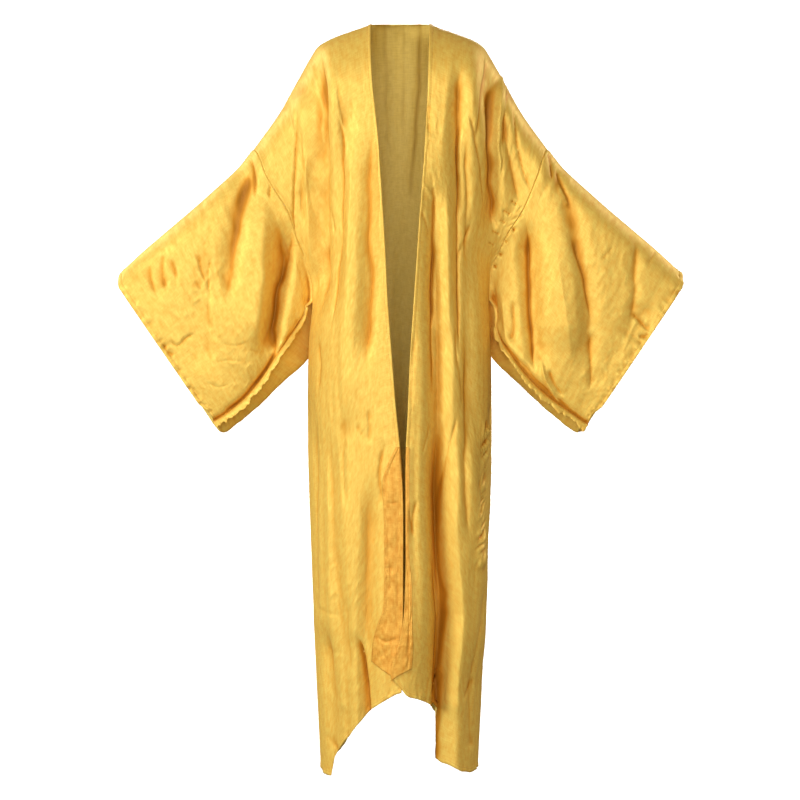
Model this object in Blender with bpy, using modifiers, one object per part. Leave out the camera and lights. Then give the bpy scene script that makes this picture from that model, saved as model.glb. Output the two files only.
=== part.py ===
"""Open kimono robe in gold satin, filled out as if worn, with the arms held a little away from the body.

The cloth is two fronts, a back and two square sleeves. Each is a wall of one thickness, laid over the form
of a general figure: a rounded shoulder line, a chest, and an oval ring below the arms that falls to the hem.
+Z is up, the open front faces -Y, and +X is the wearer's left. The origin is the middle of the neck opening,
on the shoulder line. Sizes are metres.
"""

import math

import bmesh
import bpy
import numpy as np

# Sizes of the pieces: the body's length is its fall from the shoulder line to the hem's front corners
BODY_LENGTH = 1.297
SHOULDER_WIDTH = 0.349
NECK_HALF = 0.0566
SLEEVE_SIZE = 0.357
WALL = 0.0015
SEAM_GAP = 0.0003
UNDERARM_NOTCH = 0.0032

# Counts of rows and columns
ACROSS = 16
NECK_ACROSS = 4
ARM_ROWS = 12
SKIRT_ROWS = 24
SLEEVE_ROWS = 12
STRIP_ROWS = 20
STRIP_ACROSS = 3

# Shoulder line seen from the front: distance from the neck point, x, z
SHOULDER_LINE = (
    (0.000, 0.0566, 0.000),
    (0.086, 0.1390, -0.032),
    (0.113, 0.1600, -0.047),
    (0.200, 0.2070, -0.121),
    (0.260, 0.2350, -0.171),
    (0.349, 0.2870, -0.244),
)

# Opening edges: depth below the shoulder line, x on the wearer's right, x on the wearer's left
OPENING_EDGES = (
    (0.000, -0.0566, 0.0566),
    (0.090, -0.0565, 0.0537),
    (0.220, -0.0439, 0.0478),
    (0.419, -0.0302, 0.0337),
    (0.538, -0.0244, 0.0254),
    (0.643, -0.0166, 0.0185),
    (0.743, -0.0088, 0.0142),
    (0.840, 0.0006, 0.0095),
    (0.930, 0.0049, 0.0090),
    (1.043, 0.0050, 0.0095),
    (1.100, 0.0050, 0.0080),
    (1.148, 0.0048, 0.0059),
    (1.204, 0.0042, -0.0009),
    (1.245, 0.0036, -0.0100),
    (1.282, 0.0025, -0.0180),
    (1.297, 0.0020, -0.0180),
)

# Armhole and side seam: depth below the shoulder line, distance from the middle on the right and left
SIDE_EDGES = (
    (0.000, 0.2870, 0.2870),
    (0.070, 0.2525, 0.2620),
    (0.140, 0.2160, 0.2400),
    (0.190, 0.2035, 0.2215),
    (0.240, 0.1880, 0.2016),
    (0.310, 0.1720, 0.1790),
    (0.357, 0.1710, 0.1720),
    (0.450, 0.1775, 0.1745),
    (0.560, 0.1792, 0.1757),
    (0.680, 0.1780, 0.1757),
    (0.880, 0.1715, 0.1680),
    (1.090, 0.1628, 0.1582),
    (1.297, 0.1538, 0.1495),
)

# Rows below their level at the opening: share of the panel's width, drop on the right, left and back
HANG_DROPS = (
    (0.00, 0.000, 0.000, 0.000),
    (0.12, 0.013, 0.011, 0.010),
    (0.25, 0.045, 0.032, 0.035),
    (0.40, 0.098, 0.098, 0.085),
    (0.55, 0.132, 0.143, 0.128),
    (0.70, 0.158, 0.160, 0.152),
    (0.85, 0.168, 0.162, 0.166),
    (1.00, 0.167, 0.160, 0.165),
)

# Outline of the hem below the body's length, in the same columns, which the rows reach below HEM_START
HEM_DROPS = (
    (0.000, -0.009, -0.037, 0.000),
    (0.040, -0.006, -0.028, 0.001),
    (0.080, -0.001, -0.016, 0.003),
    (0.120, 0.005, -0.004, 0.006),
    (0.200, 0.017, 0.003, 0.018),
    (0.300, 0.033, 0.014, 0.042),
    (0.343, 0.046, 0.021, 0.053),
    (0.400, 0.062, 0.024, 0.068),
    (0.432, 0.070, 0.034, 0.076),
    (0.444, 0.073, 0.112, 0.080),
    (0.457, 0.076, 0.126, 0.084),
    (0.500, 0.084, 0.134, 0.096),
    (0.600, 0.103, 0.147, 0.120),
    (0.657, 0.114, 0.149, 0.131),
    (0.700, 0.130, 0.151, 0.138),
    (0.742, 0.160, 0.152, 0.144),
    (0.857, 0.160, 0.148, 0.156),
    (1.000, 0.155, 0.152, 0.155),
)
HEM_START = 1.10

# Depth of the oval ring under the arms: depth below the shoulder line, to the front, to the back
RING_DEPTHS = (
    (0.00, 0.122, 0.100),
    (0.20, 0.128, 0.110),
    (0.36, 0.130, 0.114),
    (0.60, 0.120, 0.116),
    (0.90, 0.116, 0.120),
    (1.30, 0.112, 0.124),
)

# Roundness of the shoulders, chest, arms and back neck
CHEST_DEPTH = 0.118
BACK_DEPTH = 0.102
CHEST_ROUND = 0.130
ARM_DEPTH = 0.048
ARM_ROUND = 0.055
NECK_BOW = 0.055

# Sleeve seen from the front, for the wearer's left: share of its length from armhole to cuff, then x and z
# of the top fold, the underarm seam on the right and on the left, and the lower fold
SLEEVE_LINES = (
    (0.00, 0.287, -0.244, 0.171, -0.538, 0.171, -0.538, 0.173, -0.510),
    (0.02, 0.292, -0.249, 0.183, -0.548, 0.181, -0.552, 0.185, -0.526),
    (0.05, 0.299, -0.257, 0.187, -0.566, 0.183, -0.588, 0.183, -0.571),
    (0.12, 0.313, -0.275, 0.200, -0.593, 0.192, -0.622, 0.171, -0.626),
    (0.20, 0.333, -0.295, 0.215, -0.615, 0.205, -0.641, 0.176, -0.648),
    (0.28, 0.354, -0.314, 0.231, -0.638, 0.219, -0.659, 0.191, -0.669),
    (0.45, 0.401, -0.356, 0.262, -0.687, 0.251, -0.698, 0.234, -0.710),
    (0.62, 0.448, -0.396, 0.294, -0.725, 0.290, -0.732, 0.279, -0.752),
    (0.82, 0.504, -0.444, 0.332, -0.757, 0.334, -0.762, 0.325, -0.790),
    (0.92, 0.532, -0.470, 0.349, -0.768, 0.351, -0.774, 0.341, -0.800),
    (1.00, 0.559, -0.495, 0.365, -0.777, 0.366, -0.782, 0.354, -0.797),
)

# Sleeve's girth: share of the way round from the underarm seam, share of the way down from the top fold,
# depth y. The first half lies in front and starts at the seam; the second half lies behind and ends at the
# lower fold.
SLEEVE_GIRTH = (
    (0.000, 1.00, -0.034),
    (0.110, 0.80, -0.046),
    (0.270, 0.46, -0.052),
    (0.400, 0.18, -0.049),
    (0.455, 0.06, -0.036),
    (0.500, 0.00, 0.000),
    (0.545, 0.06, 0.036),
    (0.600, 0.16, 0.048),
    (0.730, 0.44, 0.048),
    (0.870, 0.80, 0.040),
    (0.950, 0.98, 0.018),
)
CUFF_ROUND = 0.012

# Back of the sleeve that sags behind the side of the body: place and reach round the girth, depth
SAG_PLACE = 0.93
SAG_REACH = 0.06
SAG_DEPTH = 0.030
CUFF_FLATTEN = 0.70

# Largest folds, as lines seen from the front: layer, side (-1 the wearer's right), how far they go in (or
# out, when negative) in metres, reach to the side towards and away from the middle, and the line's x and z
FOLDS = (
    ("front", -1, 0.020, 0.016, 0.012, ((-0.157, -0.050), (-0.160, -0.150), (-0.157, -0.280),
                                        (-0.158, -0.420), (-0.160, -0.600))),
    ("front", -1, -0.010, 0.020, 0.020, ((-0.190, -0.130), (-0.185, -0.230), (-0.176, -0.340))),
    ("front", -1, 0.010, 0.018, 0.018, ((-0.094, -0.120), (-0.114, -0.280), (-0.124, -0.460),
                                        (-0.136, -0.600))),
    ("front", -1, 0.009, 0.018, 0.020, ((-0.062, -0.200), (-0.060, -0.500), (-0.079, -0.700))),
    ("front", -1, -0.008, 0.024, 0.024, ((-0.090, -0.300), (-0.095, -0.560), (-0.100, -0.800))),
    ("front", -1, 0.014, 0.018, 0.022, ((-0.140, -0.760), (-0.132, -1.000), (-0.112, -1.250),
                                        (-0.104, -1.480))),
    ("front", -1, 0.013, 0.020, 0.014, ((-0.056, -0.860), (-0.066, -1.100), (-0.070, -1.400))),
    ("front", -1, 0.015, 0.012, 0.016, ((-0.150, -1.150), (-0.134, -1.300), (-0.127, -1.500))),
    ("front", 1, 0.014, 0.016, 0.016, ((0.122, -0.060), (0.107, -0.170), (0.110, -0.420), (0.108, -0.660))),
    ("front", 1, 0.024, 0.016, 0.020, ((0.068, -0.260), (0.070, -0.600), (0.070, -0.880), (0.070, -1.120),
                                       (0.071, -1.300), (0.071, -1.500))),
    ("front", 1, 0.022, 0.014, 0.022, ((0.070, -0.900), (0.070, -1.120), (0.071, -1.300), (0.071, -1.500))),
    ("front", 1, 0.018, 0.014, 0.014, ((0.172, -0.080), (0.1745, -0.200), (0.171, -0.420))),
    ("front", 1, -0.012, 0.022, 0.022, ((0.196, -0.110), (0.188, -0.250), (0.178, -0.400))),
    ("front", 1, 0.010, 0.014, 0.014, ((0.140, -0.380), (0.134, -0.600), (0.140, -0.820))),
    ("front", 1, 0.012, 0.018, 0.018, ((0.118, -0.900), (0.112, -1.150), (0.106, -1.450))),
    ("back", -1, 0.016, 0.020, 0.020, ((-0.150, -0.070), (-0.150, -0.350), (-0.140, -0.620))),
    ("back", -1, 0.018, 0.022, 0.018, ((-0.072, -0.380), (-0.078, -0.800), (-0.084, -1.450))),
    ("back", -1, 0.015, 0.018, 0.018, ((-0.128, -0.760), (-0.122, -1.100), (-0.118, -1.500))),
    ("back", -1, -0.008, 0.030, 0.030, ((-0.030, -0.200), (-0.034, -0.700), (-0.030, -1.330))),
    ("back", 1, 0.016, 0.020, 0.020, ((0.148, -0.070), (0.150, -0.350), (0.144, -0.640))),
    ("back", 1, 0.016, 0.018, 0.022, ((0.062, -0.420), (0.066, -0.860), (0.072, -1.450))),
    ("back", 1, 0.016, 0.018, 0.018, ((0.120, -0.700), (0.126, -1.100), (0.120, -1.500))),
    ("back", 1, 0.012, 0.016, 0.016, ((0.012, -0.620), (0.016, -1.000), (0.010, -1.340))),
    ("sleeve_front", -1, 0.012, 0.020, 0.020, ((-0.291, -0.265), (-0.307, -0.345), (-0.331, -0.470))),
    ("sleeve_front", -1, -0.010, 0.024, 0.024, ((-0.276, -0.330), (-0.275, -0.500), (-0.290, -0.650))),
    ("sleeve_front", -1, 0.018, 0.022, 0.018, ((-0.216, -0.375), (-0.230, -0.500), (-0.262, -0.660))),
    ("sleeve_front", -1, 0.008, 0.022, 0.022, ((-0.405, -0.450), (-0.392, -0.560), (-0.370, -0.680))),
    ("sleeve_front", 1, 0.012, 0.018, 0.018, ((0.292, -0.262), (0.326, -0.357), (0.345, -0.470))),
    ("sleeve_front", 1, 0.018, 0.020, 0.022, ((0.240, -0.376), (0.248, -0.480), (0.252, -0.590),
                                              (0.275, -0.690))),
    ("sleeve_front", 1, 0.010, 0.020, 0.020, ((0.318, -0.410), (0.354, -0.500), (0.361, -0.590),
                                              (0.354, -0.680))),
    ("sleeve_front", 1, -0.010, 0.026, 0.026, ((0.300, -0.380), (0.305, -0.520), (0.312, -0.660))),
    ("sleeve_back", -1, 0.013, 0.024, 0.024, ((-0.300, -0.290), (-0.290, -0.450), (-0.300, -0.640))),
    ("sleeve_back", -1, 0.010, 0.024, 0.024, ((-0.420, -0.420), (-0.395, -0.560), (-0.360, -0.700))),
    ("sleeve_back", 1, 0.013, 0.024, 0.024, ((0.290, -0.290), (0.285, -0.450), (0.300, -0.650))),
    ("sleeve_back", 1, 0.010, 0.024, 0.024, ((0.400, -0.400), (0.390, -0.540), (0.350, -0.690))),
)
FOLD_END = 0.22
SEAM_CALM = 0.030

# Front edges turned out to show their facing, as wide as each row says: depth below the shoulder line,
# width on the wearer's right and left
FACING_WIDTHS = (
    (0.820, 0.010, 0.008),
    (0.850, 0.030, 0.009),
    (0.880, 0.045, 0.010),
    (0.930, 0.047, 0.010),
    (1.020, 0.047, 0.009),
    (1.080, 0.048, 0.017),
    (1.130, 0.050, 0.021),
    (1.160, 0.062, 0.024),
    (1.186, 0.073, 0.030),
    (1.215, 0.077, 0.041),
    (1.247, 0.078, 0.053),
    (1.300, 0.078, 0.055),
)
FACING_TOP = 0.820
LEVEL_STEPS = 8
FACING_LIFT = 0.0020
FACING_BOTTOM = ((1.269, 1.229), (1.258, 1.282))
OVERLAP_LIFT = 0.012

RIGHT = -1
LEFT = 1

# Colour, roughness and metallic value of the satin, outside and where the facing shows
SATIN_GOLD = (0.76, 0.50, 0.10)
FACING_GOLD = (0.85, 0.58, 0.13)
SATIN_ROUGHNESS = 0.34


def smooth(value, start, end):
    """Ease from 0 at start to 1 at end."""
    share = np.clip((value - start) / (end - start), 0.0, 1.0)
    return share * share * (3.0 - 2.0 * share)


def along(table, column, value):
    """Read a column of a table at any value of its first column, as a smooth curve through the rows."""
    knots = np.array([row[0] for row in table])
    heights = np.array([row[column] for row in table])
    steps = np.diff(knots)
    slopes = np.diff(heights) / steps
    tangents = np.concatenate(([slopes[0]], (slopes[1:] + slopes[:-1]) / 2.0, [slopes[-1]]))
    flat = np.concatenate(([False], slopes[1:] * slopes[:-1] <= 0.0, [False]))
    tangents = np.where(flat, 0.0, tangents)
    value = np.clip(value, knots[0], knots[-1])
    index = np.clip(np.searchsorted(knots, value, side="right") - 1, 0, len(steps) - 1)
    step = steps[index]
    share = (value - knots[index]) / step
    ease = share * share * (3.0 - 2.0 * share)
    leave = share * (1.0 - share) ** 2
    arrive = share ** 2 * (share - 1.0)
    return (heights[index] * (1.0 - ease) + heights[index + 1] * ease
            + step * (leave * tangents[index] + arrive * tangents[index + 1]))


def side_column(side):
    """Column of a two-sided table that belongs to the wearer's right (-1) or left (1)."""
    return 1 if side == RIGHT else 2


def round_over(rise, drop):
    """Quarter oval from the shoulder line to a level below it: share of the way out, and the fall so far."""
    turn = math.pi / 2.0 * np.clip(drop / rise, 0.0, 1.0)
    fall = rise * (1.0 - np.cos(turn)) + np.maximum(drop - rise, 0.0)
    return np.sin(turn), fall


def hang(drop, across, start, chest_depth):
    """Depth and fall of cloth that hangs from the shoulders (across 0) or from the arm (across 1)."""
    over_arm = smooth(across, 0.25, 0.72)
    chest_out, chest_fall = round_over(CHEST_ROUND, drop)
    arm_out, arm_fall = round_over(ARM_ROUND, drop)
    chest = start + (chest_depth - start) * chest_out
    depth = chest + (ARM_DEPTH * arm_out - chest) * over_arm
    return depth, chest_fall + (arm_fall - chest_fall) * over_arm


def settle(column, across, drop):
    """How far a panel's rows hang below their own level, and near the hem its outline."""
    near_hem = smooth(drop, HEM_START, BODY_LENGTH)
    return along(HANG_DROPS, column, across) * (1.0 - near_hem) + along(HEM_DROPS, column, across) * near_hem


def front_base(side, across, drop):
    """Smooth front panel: across is 0 at the opening and 1 at the armhole and side seam."""
    edge = side * along(OPENING_EDGES, side_column(side), drop)
    seam = along(SIDE_EDGES, side_column(side), drop)
    below_arm = smooth(drop, 0.04, 0.42)

    top = (along(SHOULDER_LINE, 1, across * SHOULDER_WIDTH) - NECK_HALF) / (SHOULDER_LINE[-1][1] - NECK_HALF)
    start = np.arcsin(np.clip(edge / seam, -1.0, 1.0))
    turn = start + (math.pi / 2.0 - start) * across
    ring = (seam * np.sin(turn) - edge) / (seam - edge)
    x = edge + (seam - edge) * ((1.0 - below_arm) * top + below_arm * ring)

    settled = smooth(drop, 0.0, 0.50)
    hanging, fall = hang(drop, across, 0.0, CHEST_DEPTH)
    z = (-fall + (1.0 - settled) * along(SHOULDER_LINE, 2, across * SHOULDER_WIDTH)
         - settled * settle(side_column(side), across, drop))
    y = -((1.0 - below_arm) * hanging + below_arm * along(RING_DEPTHS, 1, drop) * np.cos(turn))
    if side == LEFT:
        y = y - OVERLAP_LIFT * smooth(drop, 1.00, 1.20) * (1.0 - smooth(across, 0.05, 0.30))
    return np.stack((side * x, y, z), axis=-1)


def back_base(girth, drop):
    """Smooth back panel: girth runs from the right side seam to the left one, in metres of cloth."""
    side = np.where(girth < 0.0, RIGHT, LEFT)
    reach = np.abs(girth)
    across = np.clip((reach - NECK_HALF) / SHOULDER_WIDTH, 0.0, 1.0)
    whole = NECK_HALF + SHOULDER_WIDTH
    seam = np.where(side == RIGHT, along(SIDE_EDGES, 1, drop), along(SIDE_EDGES, 2, drop))
    below_arm = smooth(drop, 0.04, 0.42)

    beyond_neck = along(SHOULDER_LINE, 1, across * SHOULDER_WIDTH)
    top = np.where(reach < NECK_HALF, reach, beyond_neck) / SHOULDER_LINE[-1][1]
    turn = math.pi / 2.0 * reach / whole
    x = side * seam * ((1.0 - below_arm) * top + below_arm * np.sin(turn))

    settled = smooth(drop, 0.0, 0.50)
    bow = NECK_BOW * np.sqrt(np.clip(1.0 - (reach / NECK_HALF) ** 2, 0.0, 1.0))
    hanging, fall = hang(drop, across, bow, BACK_DEPTH)
    z = (-fall + (1.0 - settled) * along(SHOULDER_LINE, 2, across * SHOULDER_WIDTH)
         - settled * settle(3, reach / whole, drop))
    y = (1.0 - below_arm) * hanging + below_arm * along(RING_DEPTHS, 2, drop) * np.cos(turn)
    return np.stack((x, y, z), axis=-1)


def armhole(side, girth):
    """Point of the armhole seam at a share of the way round the sleeve from its underarm seam."""
    drop = SLEEVE_SIZE * np.abs(1.0 - 2.0 * girth)
    in_front = front_base(side, np.ones_like(girth), drop)
    behind = back_base(side * (NECK_HALF + SHOULDER_WIDTH) * np.ones_like(girth), drop)
    return np.where((girth < 0.5)[..., None], in_front, behind)


def sleeve_ring(side, length, girth):
    """Point of the sleeve's own rings, from shares of its length and of the way round."""
    rows = SLEEVE_GIRTH + ((1.0,) + SLEEVE_GIRTH[0][1:],)
    down = along(rows, 1, girth)
    y = along(rows, 2, girth)
    to_fold = smooth(girth, 0.5, 0.56) * (1.0 - smooth(girth, 0.95, 1.0))
    top_x, top_z = along(SLEEVE_LINES, 1, length), along(SLEEVE_LINES, 2, length)
    seam = 3 if side == RIGHT else 5
    low_x = along(SLEEVE_LINES, seam, length) * (1.0 - to_fold) + along(SLEEVE_LINES, 7, length) * to_fold
    low_z = along(SLEEVE_LINES, seam + 1, length) * (1.0 - to_fold) + along(SLEEVE_LINES, 8, length) * to_fold
    x = top_x + (low_x - top_x) * down
    z = top_z + (low_z - top_z) * down
    at_seam = 1.0 - smooth(0.5 - np.abs(girth - 0.5), 0.0, 0.06)
    y = y * (1.0 - (1.0 - CUFF_FLATTEN) * smooth(length, 0.45, 1.0))
    y = y * (1.0 - at_seam * (1.0 - smooth(length, 0.0, 0.3)))
    sag = np.exp(-((girth - SAG_PLACE) / SAG_REACH) ** 2) * smooth(length, 0.0, 0.06)
    y = y + SAG_DEPTH * sag * (1.0 - smooth(length, 0.14, 0.34))
    return np.stack((side * x, y, z), axis=-1)


def sleeve_base(side, length, girth):
    """Smooth sleeve: its rings, eased into the armhole so that the seam is closed."""
    ends = np.maximum(1.0 - np.abs(girth - 0.5) / 0.05, 1.0 - np.abs(np.abs(girth - 0.5) - 0.47) / 0.05)
    length = length * (1.0 - CUFF_ROUND / SLEEVE_SIZE * smooth(ends, 0.0, 1.0) * smooth(length, 0.9, 1.0))
    ring = sleeve_ring(side, length, girth)
    joint = armhole(side, girth) - sleeve_ring(side, np.zeros_like(length), girth)
    return ring + joint * (1.0 - smooth(length, 0.0, 0.40))[..., None]


def fold_shift(points, layer, side):
    """How far the folds of one layer push each point out along its normal."""
    shift = np.zeros(points.shape[:-1])
    place = points[..., (0, 2)]
    for fold_layer, fold_side, depth, inner, outer, line in FOLDS:
        if fold_layer != layer or (side and fold_side != side):
            continue
        line = np.array(line)
        lengths = np.linalg.norm(np.diff(line, axis=0), axis=1)
        starts = np.concatenate(([0.0], np.cumsum(lengths)))
        best = np.full(shift.shape, 1e9)
        offset = np.zeros(shift.shape)
        travel = np.zeros(shift.shape)
        for start, end, length, begun in zip(line[:-1], line[1:], lengths, starts):
            heading = (end - start) / length
            gap = place - start
            run = gap @ heading
            run_inside = np.clip(run, 0.0, length)
            miss = np.linalg.norm(gap - run_inside[..., None] * heading, axis=-1)
            beside = (gap[..., 0] * -heading[1] + gap[..., 1] * heading[0]) * fold_side
            nearer = miss < best
            best = np.where(nearer, miss, best)
            offset = np.where(nearer, beside, offset)
            travel = np.where(nearer, begun + run_inside, travel)
        reach = np.where(offset < 0.0, inner, outer)
        share = travel / starts[-1]
        ends = smooth(share, 0.0, FOLD_END) * (1.0 - smooth(share, 1.0 - FOLD_END, 1.0))
        runs_out = line[-1][1] < -1.30
        if runs_out:
            ends = smooth(share, 0.0, FOLD_END)
        shift -= depth * ends * np.exp(-(best / reach) ** 2)
    return shift


def outward(points, closed):
    """Unit normals of a grid of points, pointing out of the garment."""
    if closed:
        around = np.roll(points, -1, axis=1) - np.roll(points, 1, axis=1)
    else:
        around = np.gradient(points, axis=1)
    down = np.gradient(points, axis=0)
    normal = np.cross(around, down)
    return normal / np.linalg.norm(normal, axis=-1, keepdims=True)


def drops():
    """Rows of the body panels: close together down the armhole, then evenly to the hem."""
    arm = np.linspace(0.0, SLEEVE_SIZE, ARM_ROWS + 1)
    skirt = np.linspace(SLEEVE_SIZE, BODY_LENGTH, SKIRT_ROWS + 1)[1:]
    return np.concatenate((arm, skirt))


def inset(shares, length):
    """Pull both ends of a run of shares in by half the gap left at a seam."""
    edge = SEAM_GAP / 2.0 / length
    return edge + shares * (1.0 - 2.0 * edge)


def front_points(side, rows, columns):
    """Front panel with its folds. Its normals point out on both sides of the body."""
    drop, across = np.meshgrid(rows, columns, indexing="ij")
    base = front_base(side, across, drop)
    calm = smooth(drop, 0.0, SEAM_CALM) * smooth(1.0 - across, 0.0, SEAM_CALM / SHOULDER_WIDTH)
    normals = outward(base, False) * -side
    return base + normals * (fold_shift(base, "front", side) * calm)[..., None], normals


def back_points(rows, columns):
    """Back panel with its folds, from the right side seam to the left one."""
    drop, girth = np.meshgrid(rows, columns, indexing="ij")
    base = back_base(girth, drop)
    whole = NECK_HALF + SHOULDER_WIDTH
    calm = smooth(drop, 0.0, SEAM_CALM) * smooth(whole - np.abs(girth), 0.0, SEAM_CALM)
    normals = outward(base, False)
    return base + normals * (fold_shift(base, "back", 0) * calm)[..., None], normals


def sleeve_points(side, lengths, girths):
    """Sleeve with its folds, as closed rings from the armhole to the cuff."""
    length, girth = np.meshgrid(lengths, girths, indexing="ij")
    notch = UNDERARM_NOTCH * (1.0 - smooth(0.5 - np.abs(girth - 0.5), 0.0, 0.10))
    start = (SEAM_GAP / 2.0 + notch) / SLEEVE_SIZE
    length = start + length * (1.0 - start)
    base = sleeve_base(side, length, girth)
    normals = outward(base, True) * -side
    shift = np.where(girth < 0.5, fold_shift(base, "sleeve_front", side),
                     fold_shift(base, "sleeve_back", side))
    calm = smooth(length, 0.0, SEAM_CALM / SLEEVE_SIZE)
    calm = calm * smooth(np.abs(girth - 0.5), 0.0, 0.08) * smooth(0.5 - np.abs(girth - 0.5), 0.0, 0.08)
    return base + normals * (shift * calm)[..., None], normals


def facing_points(side):
    """Turned-out strip along a front edge, made from the panel's own points moved out."""
    down, out = np.meshgrid(np.linspace(0.0, 1.0, STRIP_ROWS + 1), np.linspace(0.0, 1.0, STRIP_ACROSS + 1),
                            indexing="ij")
    inner, outer = FACING_BOTTOM[0 if side == RIGHT else 1]
    bottom = inner + (outer - inner) * out
    level = FACING_TOP + (bottom - FACING_TOP) * down
    width = along(FACING_WIDTHS, side_column(side), level)
    across = out * width / SHOULDER_WIDTH
    drop = level
    for _ in range(LEVEL_STEPS):
        drop = level - settle(side_column(side), across, drop)
    base = front_base(side, across, drop)
    normals = outward(base, False) * -side
    base = base + normals * (fold_shift(base, "front", side))[..., None]
    return base + normals * (WALL + SEAM_GAP + FACING_LIFT * smooth(down + out, 0.0, 0.2))[..., None]


def make_material(name, colour):
    """Satin: soft sheen, no metal."""
    material = bpy.data.materials.new(name)
    material.use_nodes = True
    shader = material.node_tree.nodes["Principled BSDF"]
    shader.inputs["Base Color"].default_value = (*colour, 1.0)
    shader.inputs["Roughness"].default_value = SATIN_ROUGHNESS
    shader.inputs["Metallic"].default_value = 0.0
    return material


def add_cloth(collection, name, points, closed, flip, material):
    """Loft a sheet through rows of points and thicken it: body panels outward, closed sleeves inward."""
    mesh = bpy.data.meshes.new(name)
    work = bmesh.new()
    grid = [[work.verts.new(point) for point in row] for row in points.tolist()]
    columns = len(grid[0])
    for above, below in zip(grid[:-1], grid[1:]):
        for left in range(columns if closed else columns - 1):
            right = (left + 1) % columns
            corners = (above[left], above[right], below[right], below[left])
            work.faces.new(corners[::-1] if flip else corners)
    work.to_mesh(mesh)
    work.free()
    mesh.shade_smooth()
    mesh.materials.append(material)
    piece = bpy.data.objects.new(name, mesh)
    collection.objects.link(piece)
    wall = piece.modifiers.new("Wall", "SOLIDIFY")
    wall.thickness = WALL
    wall.offset = -1.0 if closed else 1.0
    return piece


def build():
    """Remove what the file starts with, then make the seven pieces."""
    for thing in list(bpy.data.objects):
        bpy.data.objects.remove(thing, do_unlink=True)
    collection = bpy.data.collections.new("kimono_robe")
    bpy.context.scene.collection.children.link(collection)
    satin = make_material("gold_satin", SATIN_GOLD)
    facing = make_material("gold_facing", FACING_GOLD)

    rows = drops()
    rows[0] = SEAM_GAP / 2.0
    columns = inset(np.linspace(0.0, 1.0, ACROSS + 1), SHOULDER_WIDTH)
    outer = NECK_HALF + columns * SHOULDER_WIDTH
    neck = np.linspace(-NECK_HALF, NECK_HALF, NECK_ACROSS + 1)[1:-1]
    back_columns = np.concatenate((-outer[::-1], neck, outer))
    points, _ = back_points(rows, back_columns)
    add_cloth(collection, "back", points, False, False, satin)

    girths = np.linspace(0.0, 1.0, 2 * ARM_ROWS, endpoint=False)
    lengths = np.linspace(0.0, 1.0, SLEEVE_ROWS + 1)
    for side, label in ((RIGHT, "right"), (LEFT, "left")):
        flip = side == LEFT
        points, _ = front_points(side, rows, columns)
        add_cloth(collection, "front_" + label, points, False, flip, satin)
        points, _ = sleeve_points(side, lengths, girths)
        add_cloth(collection, "sleeve_" + label, points, True, flip, satin)
        add_cloth(collection, "facing_" + label, facing_points(side), False, flip, facing)


build()
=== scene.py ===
# %% [markdown]
# # A gold satin kimono robe
# This lesson dresses the plain solids of a long open robe: two fronts, a back, two wide square sleeves and
# the two front edges that have turned out. The robe is filled out as if worn, and nothing is inside it.
# First the solids are loaded.

# %% Load the frame
import math

import bpy
import numpy as np
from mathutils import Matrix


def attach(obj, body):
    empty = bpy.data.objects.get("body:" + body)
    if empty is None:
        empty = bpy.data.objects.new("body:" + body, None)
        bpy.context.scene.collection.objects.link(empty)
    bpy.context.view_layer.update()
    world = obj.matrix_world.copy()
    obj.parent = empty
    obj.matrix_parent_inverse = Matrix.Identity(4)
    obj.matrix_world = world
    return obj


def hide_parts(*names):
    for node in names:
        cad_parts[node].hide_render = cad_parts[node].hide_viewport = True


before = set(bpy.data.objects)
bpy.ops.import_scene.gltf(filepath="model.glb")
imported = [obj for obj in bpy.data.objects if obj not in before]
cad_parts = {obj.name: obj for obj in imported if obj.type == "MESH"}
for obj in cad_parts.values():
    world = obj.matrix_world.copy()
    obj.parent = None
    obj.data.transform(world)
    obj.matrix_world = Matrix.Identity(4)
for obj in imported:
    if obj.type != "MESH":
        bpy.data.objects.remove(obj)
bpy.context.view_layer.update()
print("solids:", sorted(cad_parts))

# %% [markdown]
# ## Sizes
# The cloth was cut flat and sewn, so its sizes are those of a cut: how far the body falls, how wide a
# shoulder is, how square a sleeve is. Everything below is worked out from them. Metres throughout.

# %% Driving sizes
BODY_LENGTH = 1.297
SHOULDER_WIDTH = 0.349
NECK_HALF = 0.0566
SLEEVE_SIZE = 0.357
BODY_HALF = NECK_HALF + SHOULDER_WIDTH
RIGHT = -1
LEFT = 1
SIDES = ((RIGHT, "right"), (LEFT, "left"))
print("flat width of the body", round(2.0 * BODY_HALF, 3))

# %% [markdown]
# ## Reading curves from short tables
# A seam or an edge is a short table with a row for each place where it turns. Between rows, a cubic that
# agrees with its neighbours' slopes gives a line as smooth as cloth. Splines from Blender's curve objects
# could do the same, but a function that takes whole arrays places a hundred thousand points at once.

# %% Curve helpers
def smooth(value, start, end):
    """Ease from 0 at start to 1 at end."""
    share = np.clip((value - start) / (end - start), 0.0, 1.0)
    return share * share * (3.0 - 2.0 * share)


def along(table, column, value):
    """Read a column of a table at any value of its first column, as a smooth curve through the rows."""
    knots = np.array([row[0] for row in table])
    heights = np.array([row[column] for row in table])
    steps = np.diff(knots)
    slopes = np.diff(heights) / steps
    tangents = np.concatenate(([slopes[0]], (slopes[1:] + slopes[:-1]) / 2.0, [slopes[-1]]))
    flat = np.concatenate(([False], slopes[1:] * slopes[:-1] <= 0.0, [False]))
    tangents = np.where(flat, 0.0, tangents)
    value = np.clip(value, knots[0], knots[-1])
    index = np.clip(np.searchsorted(knots, value, side="right") - 1, 0, len(steps) - 1)
    step = steps[index]
    share = (value - knots[index]) / step
    ease = share * share * (3.0 - 2.0 * share)
    leave = share * (1.0 - share) ** 2
    arrive = share ** 2 * (share - 1.0)
    return (heights[index] * (1.0 - ease) + heights[index + 1] * ease
            + step * (leave * tangents[index] + arrive * tangents[index + 1]))


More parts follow.
